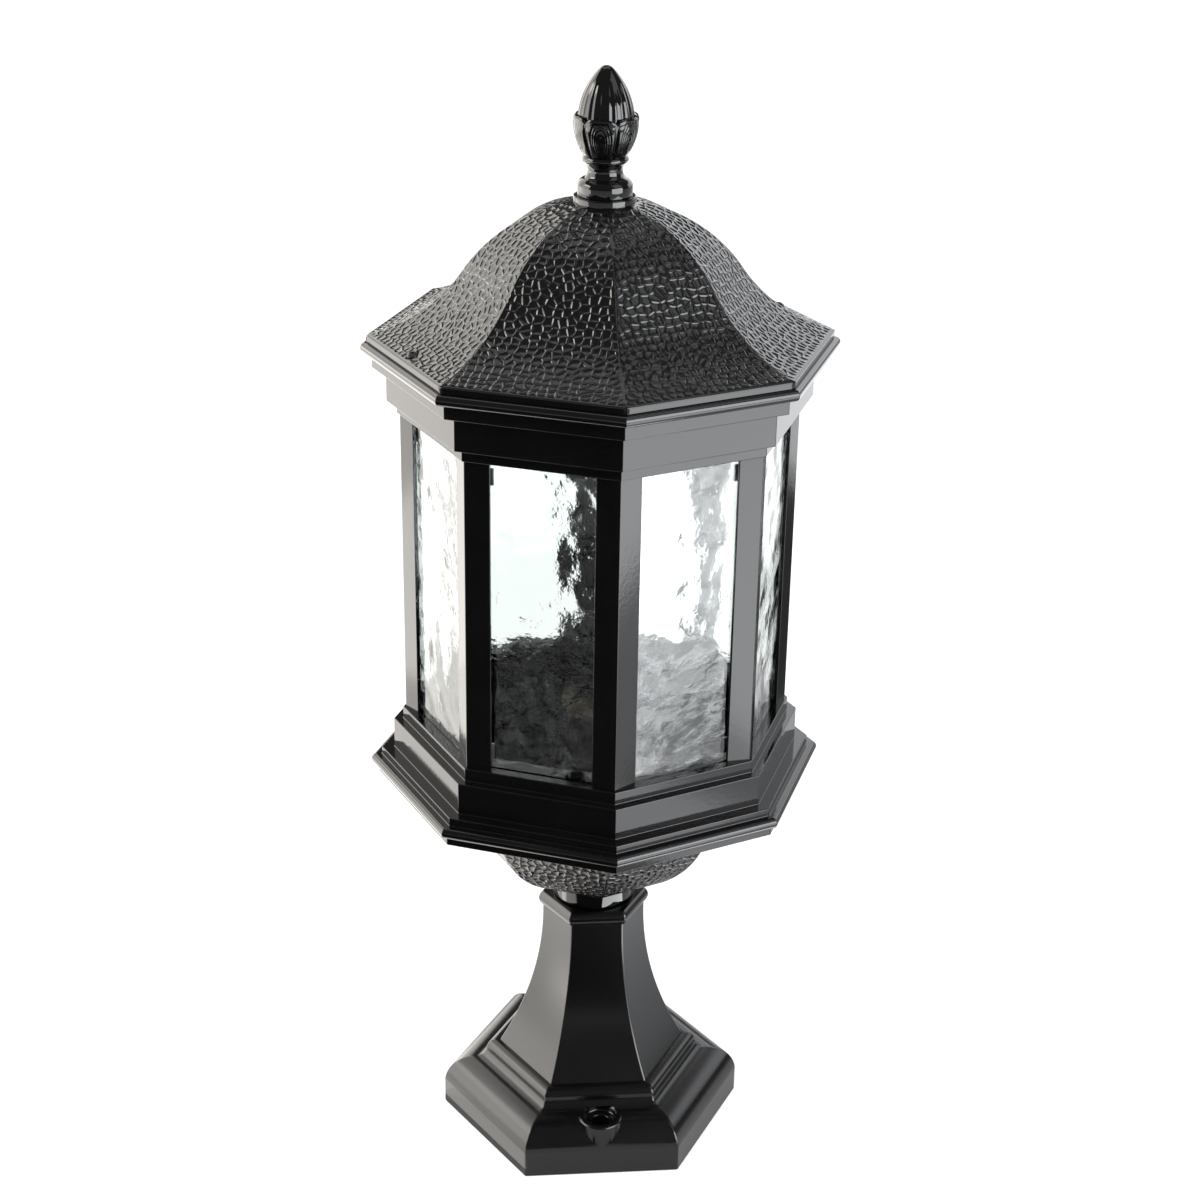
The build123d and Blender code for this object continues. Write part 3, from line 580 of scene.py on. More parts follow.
roofShape = named(eaveFlats=207.0, lip=3.5, lipRound=0.35, lipDrop=0.1, lipLead=(6.0, 1.0), lipColumns=40,
    domeRadius=72.4, domeDrop=7.7, domeSlope=57.4, wall=3.0, seam=0.3,
    skirtDepth=5.0, skirtOuter=90.7, skirtThick=2.5, insideColumns=10, insideStep=5.0,
    landDiameter=29.5, landEdge=0.6, landSide=3.0, landColumns=14,
    padDiameter=24.0, padDepth=3.0, studHole=6.6,
    screwAngle=22.5, screwRadius=98.0, screwHead=5.6, screwHeadHeight=2.0, screwGap=0.4,
    seatPull=(0.85, 1.2))


def ogeeSpots(eaveZ, inset, first, last, step):
    # dome struck from the axis, then the hollow flare, from near the axis out to the eave
    radius, slope = roofShape.domeRadius, radians(roofShape.domeSlope)
    domeZ = eaveZ - roofShape.domeDrop
    breakX, breakZ = radius * sin(slope), domeZ + radius * cos(slope)
    reach, fall = roofShape.eaveFlats / 2 - breakX, breakZ - eaveZ
    flare = (reach ** 2 + fall ** 2) / (2 * (reach * sin(slope) - fall * cos(slope)))
    flareX, flareZ = breakX + flare * sin(slope), breakZ + flare * cos(slope)
    dome, hollow = radius - inset, flare + inset
    spots = arcSpots(0, domeZ, dome, asin(first / dome), slope, step)
    further = arcSpots(flareX, flareZ, -hollow, slope, asin((flareX - last) / hollow), step)
    return spots + [(x, z, spots[-1][2] + run) for x, z, run in further[1:]]


def makeRoof():
    shape = roofShape
    low, high = levels("roof")
    lipZ = low + shape.skirtDepth
    eaveZ = lipZ + shape.lip
    eave, land = shape.eaveFlats / 2, shape.landDiameter / 2
    hole, pad = shape.studHole / 2, shape.padDiameter / 2
    inside, seam, lipRound, (leadX, leadZ) = shape.insideColumns, shape.seam, shape.lipRound, shape.lipLead
    skirt, skirtInner = shape.skirtOuter, shape.skirtOuter - shape.skirtThick
    landPath = roundedPath([(hole, high), (land, high, shape.landEdge), (land, high - shape.landSide)])
    lipPath = roundedPath([(eave - leadX, eaveZ + leadZ), (eave, eaveZ - shape.lipDrop, lipRound),
        (eave, lipZ, lipRound), (skirt, lipZ)])
    under = ogeeSpots(eaveZ, shape.wall, pad + seam, skirtInner, shape.insideStep)
    padZ = eaveZ - shape.domeDrop + shape.domeRadius - shape.wall - shape.padDepth
    rows = [facetRow(hole, high, inside, isRound=True)]
    rows += [facetRow(*spot, shape.landColumns, isRound=True) for spot in landPath[1:]]
    rows += hammeredRows(ogeeSpots(eaveZ, 0, land + seam, eave - lipRound, hammerLook.grid))
    rows += [facetRow(*spot, shape.lipColumns) for spot in supported(lipPath[1:])]
    rows += [facetRow(*spot, inside) for spot in ((skirt, low), (skirtInner, low))]
    rows += [facetRow(a, z, inside) for a, z, run in reversed(under)]
    padSpots = ((pad, under[0][1]), (pad, padZ), (hole, padZ))
    rows += [facetRow(*spot, inside, isRound=True) for spot in padSpots]
    piece = hammeredPiece("roofShell", rows)
    sinkScrewSeats(piece)
    standFor(piece, "roof", "hammered_black", "roof")


def sinkScrewSeats(piece):
    # round seats for the two screws, pressed into the eave
    shape = roofShape
    reach = (shape.screwHead / 2 + shape.screwGap) * mm
    nearest, farthest = (reach * share for share in shape.seatPull)
    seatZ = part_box("roof_screws")[1].z - shape.screwHeadHeight * mm
    for angle in (radians(shape.screwAngle), radians(shape.screwAngle + 180)):
        axis = Vector((cos(angle), sin(angle))) * shape.screwRadius * mm
        for vertex in piece.data.vertices:
            away = vertex.co.xy - axis
            if vertex.co.z > seatZ and away.length < farthest:
                if away.length > nearest:
                    vertex.co.xy = axis + away.normalized() * reach
                if away.length <= reach:
                    vertex.co.z = seatZ


makeRoof()

bowlShape = named(radius=71.0, wall=3.0, plate=5.0, flange=9.0, flangeThick=3.0, tubeHole=10.6,
    insideColumns=10, insideStep=5.0)


def makeBowl():
    shape = bowlShape
    low, high = levels("bowl")
    rim, floorZ = high - shape.flangeThick, low + shape.plate
    hole, inside, radius = shape.tubeHole / 2, shape.insideColumns, shape.radius
    inner, flange = radius - shape.wall, radius + shape.flange
    steep, deep = asin((rim - low) / radius), asin((rim - floorZ) / inner)
    within = arcSpots(0, rim, inner, pi / 2, pi / 2 + deep, shape.insideStep)
    rows = [facetRow(hole, low, inside, isRound=True)]
    rows += hammeredRows(arcSpots(0, rim, radius, pi / 2 + steep, pi / 2, hammerLook.grid))
    rows += [facetRow(*spot, inside) for spot in ((flange, rim), (flange, high), (inner, high), (inner, rim))]
    rows += [facetRow(a, z, inside) for a, z, run in within[1:]]
    rows.append(facetRow(hole, floorZ, inside, isRound=True))
    standFor(hammeredPiece("bowlShell", rows), "lantern", "hammered_black", "bowl")


makeBowl()
print("hammered shells made")


# Octagonal mouldings

moulding = named(beadFlats=212.5, beadRadius=2.7, filletFlats=202.6, bandFlats=190.6, edgeFlats=181.8,
    wall=4.0, web=3.5, openingFlats=148.0, corner=0.8, edge=0.4, beadSteps=16, beadFlat=0.72)
sillShape = named(plinthFlats=205.8, plinth=4.5, plinthRound=0.2, ledge=4.0, band=16.0,
    floorWeb=4.5, bowlGap=0.3)
corniceShape = named(edgeHeight=6.0, frieze=16.8)


def beadArc(beadZ):
    # a round, flattened towards the outside
    radius, steps = moulding.beadRadius, moulding.beadSteps
    spots = [exp(1j * pi * (0.5 - k / steps)) * radius for k in range(steps + 1)]
    backX = moulding.beadFlats / 2 - radius
    return [(backX + radius * abs(spot.real / radius) ** moulding.beadFlat, beadZ + spot.imag)
            for spot in spots]


def eased(*corners):
    return [(*corner, moulding.edge) for corner in corners]


def frameReach():
    # half flats of edge band, band, fillet and opening, then of the bores behind the two bands
    keys = ("edgeFlats", "bandFlats", "filletFlats", "openingFlats")
    lip, band, step, opening = (moulding[key] / 2 for key in keys)
    return lip, band, step, opening, lip - moulding.wall, band - moulding.wall


def mouldedFrame(name, node, corners):
    piece = loftPiece(name, [polygonRow(8, *spot, moulding.corner) for spot in roundedPath(corners)])
    paint(piece, glossBlack)
    smoothCasting(piece)
    standFor(piece, "lantern", "gloss_black", node)


def makeSill():
    sill, bead, web = sillShape, moulding.beadRadius, moulding.web
    low, high = levels("sill_frame")
    lip, band, step, opening, lipBore, bore = frameReach()
    plinthZ, floorZ = low + sill.plinth, low + sill.floorWeb
    ledge = plinthZ + 2 * bead + sill.ledge
    bandTop = ledge + sill.band
    plinth, bowl = sill.plinthFlats / 2, bowlShape.radius + sill.bowlGap
    corners = eased((lip, high), (lip, bandTop), (band, bandTop), (band, ledge), (step, ledge),
        (step, plinthZ + 2 * bead))
    corners += [*beadArc(plinthZ + bead), (plinth, plinthZ, sill.plinthRound)]
    corners += eased((plinth, low), (bowl, low), (bowl, floorZ), (bore, floorZ), (bore, bandTop - web),
        (lipBore, bandTop - web), (lipBore, high - web), (opening, high - web), (opening, high))
    mouldedFrame("sillMoulding", "sill_frame", corners)


def makeCornice():
    bead, web = moulding.beadRadius, moulding.web
    low, high = levels("cornice_frame")
    lip, band, step, opening, lipBore, bore = frameReach()
    friezeZ = low + corniceShape.edgeHeight
    filletZ = friezeZ + corniceShape.frieze
    corners = beadArc(high - bead)
    corners += eased((step, high - 2 * bead), (step, filletZ), (band, filletZ), (band, friezeZ),
        (lip, friezeZ), (lip, low), (opening, low), (opening, low + web), (lipBore, low + web),
        (lipBore, friezeZ + web), (bore, friezeZ + web), (bore, high))
    mouldedFrame("corniceMoulding", "cornice_frame", corners)


makeSill()
makeCornice()


# Corner posts

postShape = named(corner=97.0, bend=60.0, leg=12.0, sheet=2.0, outerRound=0.7, edge=0.3, stem=2.4,
    port=5.6, portSetback=3.7, portSteps=12, portHole=3.0, holeColumns=24)


def makePosts():
    shape = postShape
    low, high = levels("corner_post_1")
    bend, tip, edge, sheet = radians(shape.bend), shape.corner, shape.edge, shape.sheet
    stem, port = shape.stem / 2, shape.port / 2
    legX, legY = tip - shape.leg * cos(bend), shape.leg * sin(bend)
    fold = tip - sheet / sin(bend)
    portX = fold - shape.portSetback
    half = [(tip, 0, shape.outerRound), (legX, legY, edge),
            (legX - sheet * sin(bend), legY - sheet * cos(bend), edge), (fold - stem / tan(bend), stem, edge)]
    for turn in np.linspace(asin(stem / port), pi, shape.portSteps + 1):
        half.append((portX + port * cos(turn), port * sin(turn)))
    section = roundedPath(half + [(x, -y, *rest) for x, y, *rest in reversed(half[1:-1])])
    hole = [(portX + x, y) for x, y, z in turnedRow(shape.portHole / 2, 0, fullTurn(shape.holeColumns))]
    post, walls = bmesh.new(), []
    for outline in (section, hole):
        ends = [[post.verts.new((x * mm, y * mm, z * mm)) for x, y in outline] for z in (low, high)]
        for k in range(len(outline)):
            ahead = (k + 1) % len(outline)
            post.faces.new((ends[0][k], ends[0][ahead], ends[1][ahead], ends[1][k]))
        walls.append(ends)
    for level in (0, 1):
        corners = [vertex for ends in walls for vertex in ends[level]]
        rim = {side for vertex in corners for side in vertex.link_edges if side.is_boundary}
        bmesh.ops.triangle_fill(post, edges=list(rim), use_beauty=True)
    piece = newPiece("cornerPosts", meshOf(post, "cornerPosts"))
    runTree(piece, ringOfCopies, {"Count": 8, "First Angle": 0.0, "Material": glossBlack})
    smoothCasting(piece)
    standFor(piece, "lantern", "gloss_black", *[f"corner_post_{i + 1}" for i in range(8)])


makePosts()


# Water-glass panes

paneShape = named(width=59.0, thick=3.0, grid=1.0, wave=80.0, waveHeight=0.66, dapple=175.0,
    dappleHeight=0.13, calmEdge=2.0, seedStep=3.7, sharp=60)


def makePane(number):
    shape = paneShape
    name, node = f"glassPane{number}", f"glass_panel_{number}"
    low, high = levels(node)
    angle = eighth * (2 * number - 1)
    out, along = Vector((cos(angle), sin(angle), 0)), Vector((-sin(angle), cos(angle), 0))
    front = max(vertex.co.dot(out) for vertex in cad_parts[node].data.vertices) / mm
    across, up = round(shape.width / shape.grid), round((high - low) / shape.grid)
    row, sheet = across + 1, (across + 1) * (up + 1)
    points, calm, faces = [], [], []
    for depth in (front, front - shape.thick):
        for j in range(up + 1):
            height = low + (high - low) * j / up
            for i in range(row):
                side = shape.width * (i / across - 0.5)
                points.append((out * depth + along * side) * mm + Vector((0, 0, height * mm)))
                border = min(shape.width / 2 - abs(side), height - low, high - height)
                calm.append(float(smoothStep(0, shape.calmEdge, border)))
    for j in range(up):
        for i in range(across):
            a = j * row + i
            b = sheet + a
            faces += [(a, a + 1, a + row + 1, a + row), (b, b + row, b + row + 1, b + 1)]
    rim = list(range(row)) + [j * row + across for j in range(1, up + 1)]
    rim += [up * row + i for i in range(across - 1, -1, -1)] + [j * row for j in range(up - 1, 0, -1)]
    faces += [(b, a, sheet + a, sheet + b) for a, b in zip(rim, rim[1:] + rim[:1])]
    mesh = bpy.data.meshes.new(name)
    mesh.from_pydata(points, [], faces)
    mesh.attributes.new("ripple", "FLOAT", "POINT").data.foreach_set("value", calm)
    piece = newPiece(name, mesh)
    shade(piece, shape.sharp)
    runTree(piece, rippled, {"Wave": shape.wave, "Wave Height": shape.waveHeight * mm,
        "Dapple": shape.dapple, "Dapple Height": shape.dappleHeight * mm,
        "Seed": shape.seedStep * number, "Material": waterGlass})
    standFor(piece, "lantern", "water_glass", node)


for number in range(1, 9):
    makePane(number)
print("lantern cage made")


# Pedestal with its two screw bosses

pedestalShape = named(footFlats=139.0, footRound=4.5, ovoloFlats=111.2, ovolo=13.9, ovoloCrown=3.5,
    cove=5.1, torusFlats=99.0, torus=5.0, trumpetFlats=86.4, trumpet=81.5, ledge=1.8,
    neckFlats=46.8, neck=3.0, collarFlats=50.8, collar=8.0, wall=4.5, footWall=5.0, plate=8.0,
    throatDrop=5.0, tubeHole=10.6, corner=1.5, edge=0.5, sharp=35,
    roundSteps=10, trumpetSteps=28, coveSteps=7, boreSteps=12)
bossShape = named(count=2, circle=115.2, diameter=23.2, start=0.5, height=28.4, rim=1.2, rimSteps=6,
    recess=17.0, recessDepth=3.5, recessRound=1.6, recessSteps=5, chamfer=0.4,
    hole=9.5, holeRound=0.6, over=1.0, columns=64)


def makePedestal():
    shape = pedestalShape
    low, top = levels("pedestal")
    neck, collar, trumpet, torus, ovolo, foot = (shape[key + "Flats"] / 2 for key in (
        "neck", "collar", "trumpet", "torus", "ovolo", "foot"))
    roundSteps, coveSteps, edge, footWall = shape.roundSteps, shape.coveSteps, shape.edge, shape.footWall
    collarZ, plateZ = top - shape.collar, top - shape.plate
    neckZ = collarZ - shape.neck
    trumpetZ = neckZ - shape.trumpet
    torusZ = trumpetZ - shape.torus
    coveZ = torusZ - shape.cove
    footZ = coveZ - shape.ovolo
    path = threePointArc((neck, top), (collar, (top + collarZ) / 2), (neck, collarZ), roundSteps)
    path += tangentArc((neck, neckZ), (trumpet, trumpetZ), (0, -1), shape.trumpetSteps)
    path += tangentArc((trumpet + shape.ledge, trumpetZ), (torus, torusZ), (1, 0), coveSteps)
    path += tangentArc((torus, torusZ), (ovolo, coveZ), (0, -1), coveSteps)[1:]
    chord = complex(foot - ovolo, coveZ - footZ)
    crown = complex(chord.imag, chord.real) / abs(chord) * shape.ovoloCrown
    middle = complex(foot + ovolo, coveZ + footZ) / 2 + crown
    path += threePointArc((ovolo, coveZ), (middle.real, middle.imag), (foot, footZ), roundSteps)[:-1]
    path += [(foot, footZ, shape.footRound), (foot, low, edge), (foot - footWall, low, edge)]
    throat, throatZ = neck - shape.wall, neckZ - shape.throatDrop
    flare = (trumpet - shape.wall, torusZ + shape.torus / 2)
    bore = tangentArc((throat, throatZ), flare, (0, -1), shape.boreSteps)
    bore += [(ovolo - footWall, coveZ - footWall), (foot - footWall, footZ - footWall)]
    corners = [*path, *reversed(bore), (throat, plateZ)]
    rows = [polygonRow(6, *spot, shape.corner) for spot in roundedPath(corners)]
    swing, hole = np.arctan2(rows[0][:, 1], rows[0][:, 0]), shape.tubeHole / 2
    piece = loftPiece("pedestalCasting", [turnedRow(hole, top, swing), *rows, turnedRow(hole, plateZ, swing)])
    combine(piece, bossTools())
    paint(piece, satinBlack)
    smoothCasting(piece, shape.sharp)
    standFor(piece, "lantern", "gloss_black", "pedestal")


def bossTool(name, outline):
    shape = bossShape
    tool = lathePiece(name, outline, shape.columns, (0, -shape.circle / 2), closed=False)
    solid = bmesh.new()
    solid.from_mesh(tool.data)
    bmesh.ops.holes_fill(solid, edges=[edge for edge in solid.edges if edge.is_boundary])
    bmesh.ops.recalc_face_normals(solid, faces=solid.faces)
    solid.to_mesh(tool.data)
    solid.free()
    runTree(tool, ringOfCopies, {"Count": shape.count, "First Angle": 0.0, "Material": satinBlack})
    return tool


def bossTools():
    shape = bossShape
    radius, hole, recess = shape.diameter / 2, shape.hole / 2, shape.recess / 2
    start, top, over, chamfer = (shape[key] for key in ("start", "height", "over", "chamfer"))
    seat, mouth = top - shape.recessDepth, recess + 2 * chamfer
    boss = roundedPath([(0, start), (radius, start), (radius, top, shape.rim), (0, top)], shape.rimSteps)
    bore = roundedPath([(0, -over), (hole, -over), (hole, seat, shape.holeRound),
        (recess, seat, shape.recessRound), (recess, top - chamfer), (mouth, top + chamfer),
        (mouth, top + over), (0, top + over)], shape.recessSteps)
    return [(bossTool("bossSolid", boss), "UNION"), (bossTool("bossHoles", bore), "DIFFERENCE")]


makePedestal()

ringShape = named(diameter=43.0, hole=10.6, round=1.5, roundSteps=6, count=96)


def makeNeckRing():
    shape = ringShape
    low, high = levels("neck_ring")
    radius, hole, bend = shape.diameter / 2, shape.hole / 2, shape.round
    corners = [(hole, low), (radius, low, bend), (radius, high, bend), (hole, high)]
    piece = lathePiece("neckRing", roundedPath(corners, shape.roundSteps), shape.count)
    paint(piece, turnedBlack)
    smoothCasting(piece)
    standFor(piece, "lantern", "gloss_black", "neck_ring")


makeNeckRing()


# Roof screws, in the roof's seats

screwShape = named(shank=3.0, tipRound=0.3, seatRound=0.2, side=1.0, sideRound=0.5, crown=0.55,
    crownRound=0.6, roundSteps=5, slot=0.9, slotDepth=0.9, slotReach=1.7, columns=32, sharp=35)


def makeRoofScrews():
    shape, circle = screwShape, roofShape.screwRadius
    low, high = levels("roof_screws")
    head, shank, slot = roofShape.screwHead / 2, shape.shank / 2, shape.slot / 2
    seat = high - roofShape.screwHeadHeight
    corners = [(shank, low, shape.tipRound), (shank, seat), (head, seat, shape.seatRound),
        (head, seat + shape.side, shape.sideRound),
        (head * shape.crown, high, shape.crownRound), (onAxis, high)]
    outline = [(onAxis, low), *roundedPath(corners, shape.roundSteps)]
    piece = lathePiece("roofScrews", outline, shape.columns, (circle, 0), closed=False)
    cross = []
    for wide, deep in ((shape.slotReach, slot), (slot, shape.slotReach)):
        block = bmesh.new()
        size = Matrix.Diagonal((2 * wide * mm, 2 * deep * mm, 2 * shape.slotDepth * mm, 1))
        bmesh.ops.create_cube(block, size=1, matrix=Matrix.Translation((circle * mm, 0, high * mm)) @ size)
        cross.append((newPiece("crossBlock", meshOf(block, "crossBlock")), "DIFFERENCE"))
    combine(piece, cross)
    firstAngle = radians(roofShape.screwAngle)
    runTree(piece, ringOfCopies, {"Count": 2, "First Angle": firstAngle, "Material": hardware["blackScrew"]})
    smoothCasting(piece, shape.sharp)
    standFor(piece, "roof", "black_screw", "roof_screws")


makeRoofScrews()


# Finial: turned foot and neck, a cup of leaves and a fluted acorn

# rims: in from the cup's radius, down from its top; fluteFade: down from the finial's tip
finialShape = named(footDiameter=25.9, foot=4.3, footEdge=0.5, shoulder=4.0, neckDiameter=16.3, neck=7.0,
    neckFlare=1.3, ringDiameter=21.6, ring=3.4, ringRound=1.0, shoulderSteps=8, roundSteps=10,
    cupBase=20.4, cupDiameter=30.5, cup=18.6, cupLip=2.5, cupDraft=0.3, cupSteps=40,
    outerRim=((0.1, 1.2), (0.2, 0.5), (0.6, 0.0)), innerRim=((1.3, 0.1), (1.8, 0.8)),
    petals=6, petalTurn=-15.0, notch=2.2, notchPower=5, notchFrom=0.35,
    acornDiameter=26.4, acornSink=3.5, acornStart=3.0, acornRows=56, nose=4.6, noseRows=8,
    flutes=24, fluteDepth=0.30, fluteWidth=0.40, fluteFade=(14.6, 4.1), columns=432, sharp=55)
leafShape = named(crease=1.0, creaseFrom=0.80, creaseSpan=(0.25, 1.0), swell=0.5, swellEnd=0.9,
    width=0.72, widthSpan=(0.12, 0.92), widthPower=0.6, border=0.10, foot=(0.10, 0.22),
    tip=(0.86, 0.96), field=0.35, veins=5.0, veinDepth=0.13, veinCentre=0.42, veinReach=0.62)


def leafRelief(share, u):
    # height of one leaf above the plain cup: share runs up the cup, u across the leaf from -1 to 1
    leaf, side = leafShape, np.abs(u)

    def arched(low, high):
        return sin(pi * min(1, low + (high - low) * share))

    crease = -leaf.crease * smoothStep(leaf.creaseFrom, 1.0, side) * arched(*leaf.creaseSpan)
    swell = leaf.swell * (1 - u ** 2) * sin(pi * min(share, leaf.swellEnd))
    width = leaf.width * arched(*leaf.widthSpan) ** leaf.widthPower
    inField = 1 - smoothStep(width - leaf.border, width, side)
    inField = inField * float(smoothStep(*leaf.foot, share) * (1 - smoothStep(*leaf.tip, share)))
    nested = np.hypot(u / leaf.width, (share - leaf.veinCentre) / leaf.veinReach)
    veins = leaf.veinDepth * (0.5 + 0.5 * np.cos(2 * pi * leaf.veins * nested))
    return crease + swell + inField * (veins - leaf.field)


def makeFinial():
    shape = finialShape
    low, high = levels("finial")
    swing = fullTurn(shape.columns)
    foot, neck, ring, cupBase, cup, acorn = (shape[key] / 2 for key in (
        "footDiameter", "neckDiameter", "ringDiameter", "cupBase", "cupDiameter", "acornDiameter"))
    shoulderZ = low + shape.foot
    neckLow = shoulderZ + shape.shoulder
    neckHigh = neckLow + shape.neck
    cupZ = neckHigh + shape.ring
    cupTop = cupZ + shape.cup
    flared, quirk, steps = neck + shape.neckFlare, ring - shape.ringRound, shape.roundSteps
    corners = [(onAxis, low), (foot, low, shape.footEdge), (foot, shoulderZ), (onAxis, shoulderZ)]
    base = roundedPath(corners)[:-2]
    base += tangentArc((foot, shoulderZ), (flared, neckLow), (0, 1), shape.shoulderSteps)
    base += threePointArc((flared, neckLow), (neck, (neckLow + neckHigh) / 2), (flared, neckHigh), steps)[1:]
    base += threePointArc((quirk, neckHigh), (ring, (neckHigh + cupZ) / 2), (quirk, cupZ), steps)
    rows = [turnedRow(r, z, swing) for r, z in base]
    petalAngle = 2 * pi / shape.petals
    u = ((swing - radians(shape.petalTurn)) / petalAngle % 1 - 0.5) * 2
    rimDrop = shape.notch * np.abs(u) ** shape.notchPower
    sideTop = (cup - shape.cupDraft, cupTop - shape.cupLip)
    side = tangentArc(sideTop, (cupBase, cupZ), (0, -1), shape.cupSteps)[::-1]
    for r, z in side + [(cup - into, cupTop - down) for into, down in shape.outerRim]:
        share = (z - cupZ) / shape.cup
        drop = rimDrop * smoothStep(shape.notchFrom, 1.0, share)
        rows.append(turnedRow(r + leafRelief(share, u), z - drop, swing))
    rows += [turnedRow(cup - into, cupTop - down - rimDrop, swing) for into, down in shape.innerRim]
    acornZ, nose, noseZ = cupTop - shape.acornSink, shape.nose, high - shape.nose
    lift = noseZ - acornZ
    ogive = (acorn ** 2 + lift ** 2 - nose ** 2) / (2 * (acorn - nose))
    tangentZ = noseZ + lift * nose / (ogive - nose)
    fluteShare = (swing * shape.flutes / (2 * pi)) % 1 - 0.5
    groove = shape.fluteDepth * np.clip(1 - (fluteShare / shape.fluteWidth) ** 2, 0, 1)
    fadeStart, fadeEnd = (high - below for below in shape.fluteFade)
    for z in np.linspace(cupTop - shape.acornStart, tangentZ, shape.acornRows):
        radius = acorn - ogive + sqrt(ogive ** 2 - (z - acornZ) ** 2)
        rows.append(turnedRow(radius - groove * (1 - smoothStep(fadeStart, fadeEnd, z)), z, swing))
    for angle in np.linspace(asin((tangentZ - noseZ) / nose), pi / 2, shape.noseRows + 1)[1:]:
        rows.append(turnedRow(max(nose * cos(angle), onAxis), noseZ + nose * sin(angle), swing))
    piece = loftPiece("finialTurning", rows, closed=False)
    paint(piece, turnedBlack)
    shade(piece, shape.sharp)
    standFor(piece, "roof", "gloss_black", "finial")


makeFinial()


# Lamp sleeve with its E27 thread

sleeveShape = named(bore=26.6, wall=0.7, pitch=3.62, threadDepth=1.1, fade=2.0, rows=84, columns=96, sharp=50)


def makeLampSleeve():
    shape = sleeveShape
    low, high = levels("lamp_sleeve")
    swing = fullTurn(shape.columns)
    bore, outer = shape.bore / 2, shape.bore / 2 + shape.wall
    rim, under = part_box("lamp_sleeve")[1].x / mm, high - shape.wall
    outside = ((bore, low), (outer, low), (outer, under), (rim, under), (rim, high))
    rows = [turnedRow(r, z, swing) for r, z in outside]
    for z in np.linspace(high, low, shape.rows)[:-1]:
        fade = smoothStep(0, shape.fade, z - low) * smoothStep(0, shape.fade, high - z)
        wave = 0.5 - 0.5 * np.cos(2 * pi * z / shape.pitch - swing)
        rows.append(turnedRow(bore - shape.threadDepth * fade * wave, z, swing))
    piece = loftPiece("lampSleeve", rows)
    paint(piece, hardware["contactBrass"])
    shade(piece, shape.sharp)
    standFor(piece, "lantern", "contact_brass", "lamp_sleeve")


makeLampSleeve()
print("castings and turnings made")


# Hardware that keeps its own solid gets its finish

nodeFinishes = {
    "zincSteel": ["finial_stud", "finial_washer", "finial_nut", "tie_tube", "post_screws_upper",
        "post_screws_lower", "glass_clips_upper", "glass_clips_lower", "clip_screws", "bowl_screws",
        "pedestal_washer", "pedestal_nut", "bowl_washer", "bowl_nut", "lampholder_lock_nut"],
    "holderBlack": ["lampholder_cap", "lampholder_shell"],
    "holderCeramic": ["lampholder_core"],
    "contactBrass": ["centre_contact", "terminal_screws", "earth_screw"],
}
for name, nodes in nodeFinishes.items():
    for node in nodes:
        paint(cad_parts[node], hardware[name])


# Stage: pale floor, soft light, and cards that only reflections see

stageLook = named(floorSize=40.0, floorDrop=0.0003, floorColour=0.80, floorGlow=0.62, floorGloss=0.22,
    worldLight=0.55, worldGloss=0.12, patchScale=9.0, patchFrom=0.36, patchTo=0.64, patchPeak=2)


def rayMix(tree, *kinds):
    # 1 for rays of these kinds
    path = addNode(tree, "ShaderNodeLightPath").outputs
    total = path[kinds[0]]
    for kind in kinds[1:]:
        total = math(tree, "MAXIMUM", total, path[kind])
    return total


def stageSheet(name, half, place, turns=(0, 0, 0), scale=(1, 1, 1)):
    # a flat square with an empty material
    shape = bmesh.new()
    bmesh.ops.create_grid(shape, x_segments=1, y_segments=1, size=half)
    sheet = bpy.data.objects.new(name, meshOf(shape, name))
    sheet.location, sheet.rotation_euler, sheet.scale = place, turns, scale
    scene.collection.objects.link(sheet)
    material, tree, shader = newMaterial(name)
    tree.nodes.clear()
    paint(sheet, material)
    return sheet, tree


def makeFloor():
    look = stageLook
    floor, tree = stageSheet("paleFloor", look.floorSize / 2, (0, 0, -look.floorDrop))
    matt = addNode(tree, "ShaderNodeBsdfDiffuse", {"Color": (*[look.floorColour] * 3, 1)})
    seen = product(tree, rayMix(tree, "Is Camera Ray", "Is Transmission Ray"), look.floorGlow)
    gloss = product(tree, rayMix(tree, "Is Glossy Ray"), look.floorGloss)
    glow = addNode(tree, "ShaderNodeEmission", {"Strength": math(tree, "MAXIMUM", seen, gloss)})
    both = addNode(tree, "ShaderNodeAddShader", {0: matt.outputs[0], 1: glow.outputs[0]})
    addNode(tree, "ShaderNodeOutputMaterial", {"Surface": both.outputs[0]})


def makeWorld():
    world = bpy.data.worlds.new("paleRoom")
    scene.world = world
    world.use_nodes = True
    tree = world.node_tree
    white = rayMix(tree, "Is Camera Ray", "Is Transmission Ray")
    base = between(tree, rayMix(tree, "Is Glossy Ray"), stageLook.worldLight, stageLook.worldGloss)
    strength = math(tree, "MAXIMUM", white, base)
    plug(tree, tree.nodes["Background"], {"Strength": strength, "Color": (1, 1, 1, 1)})


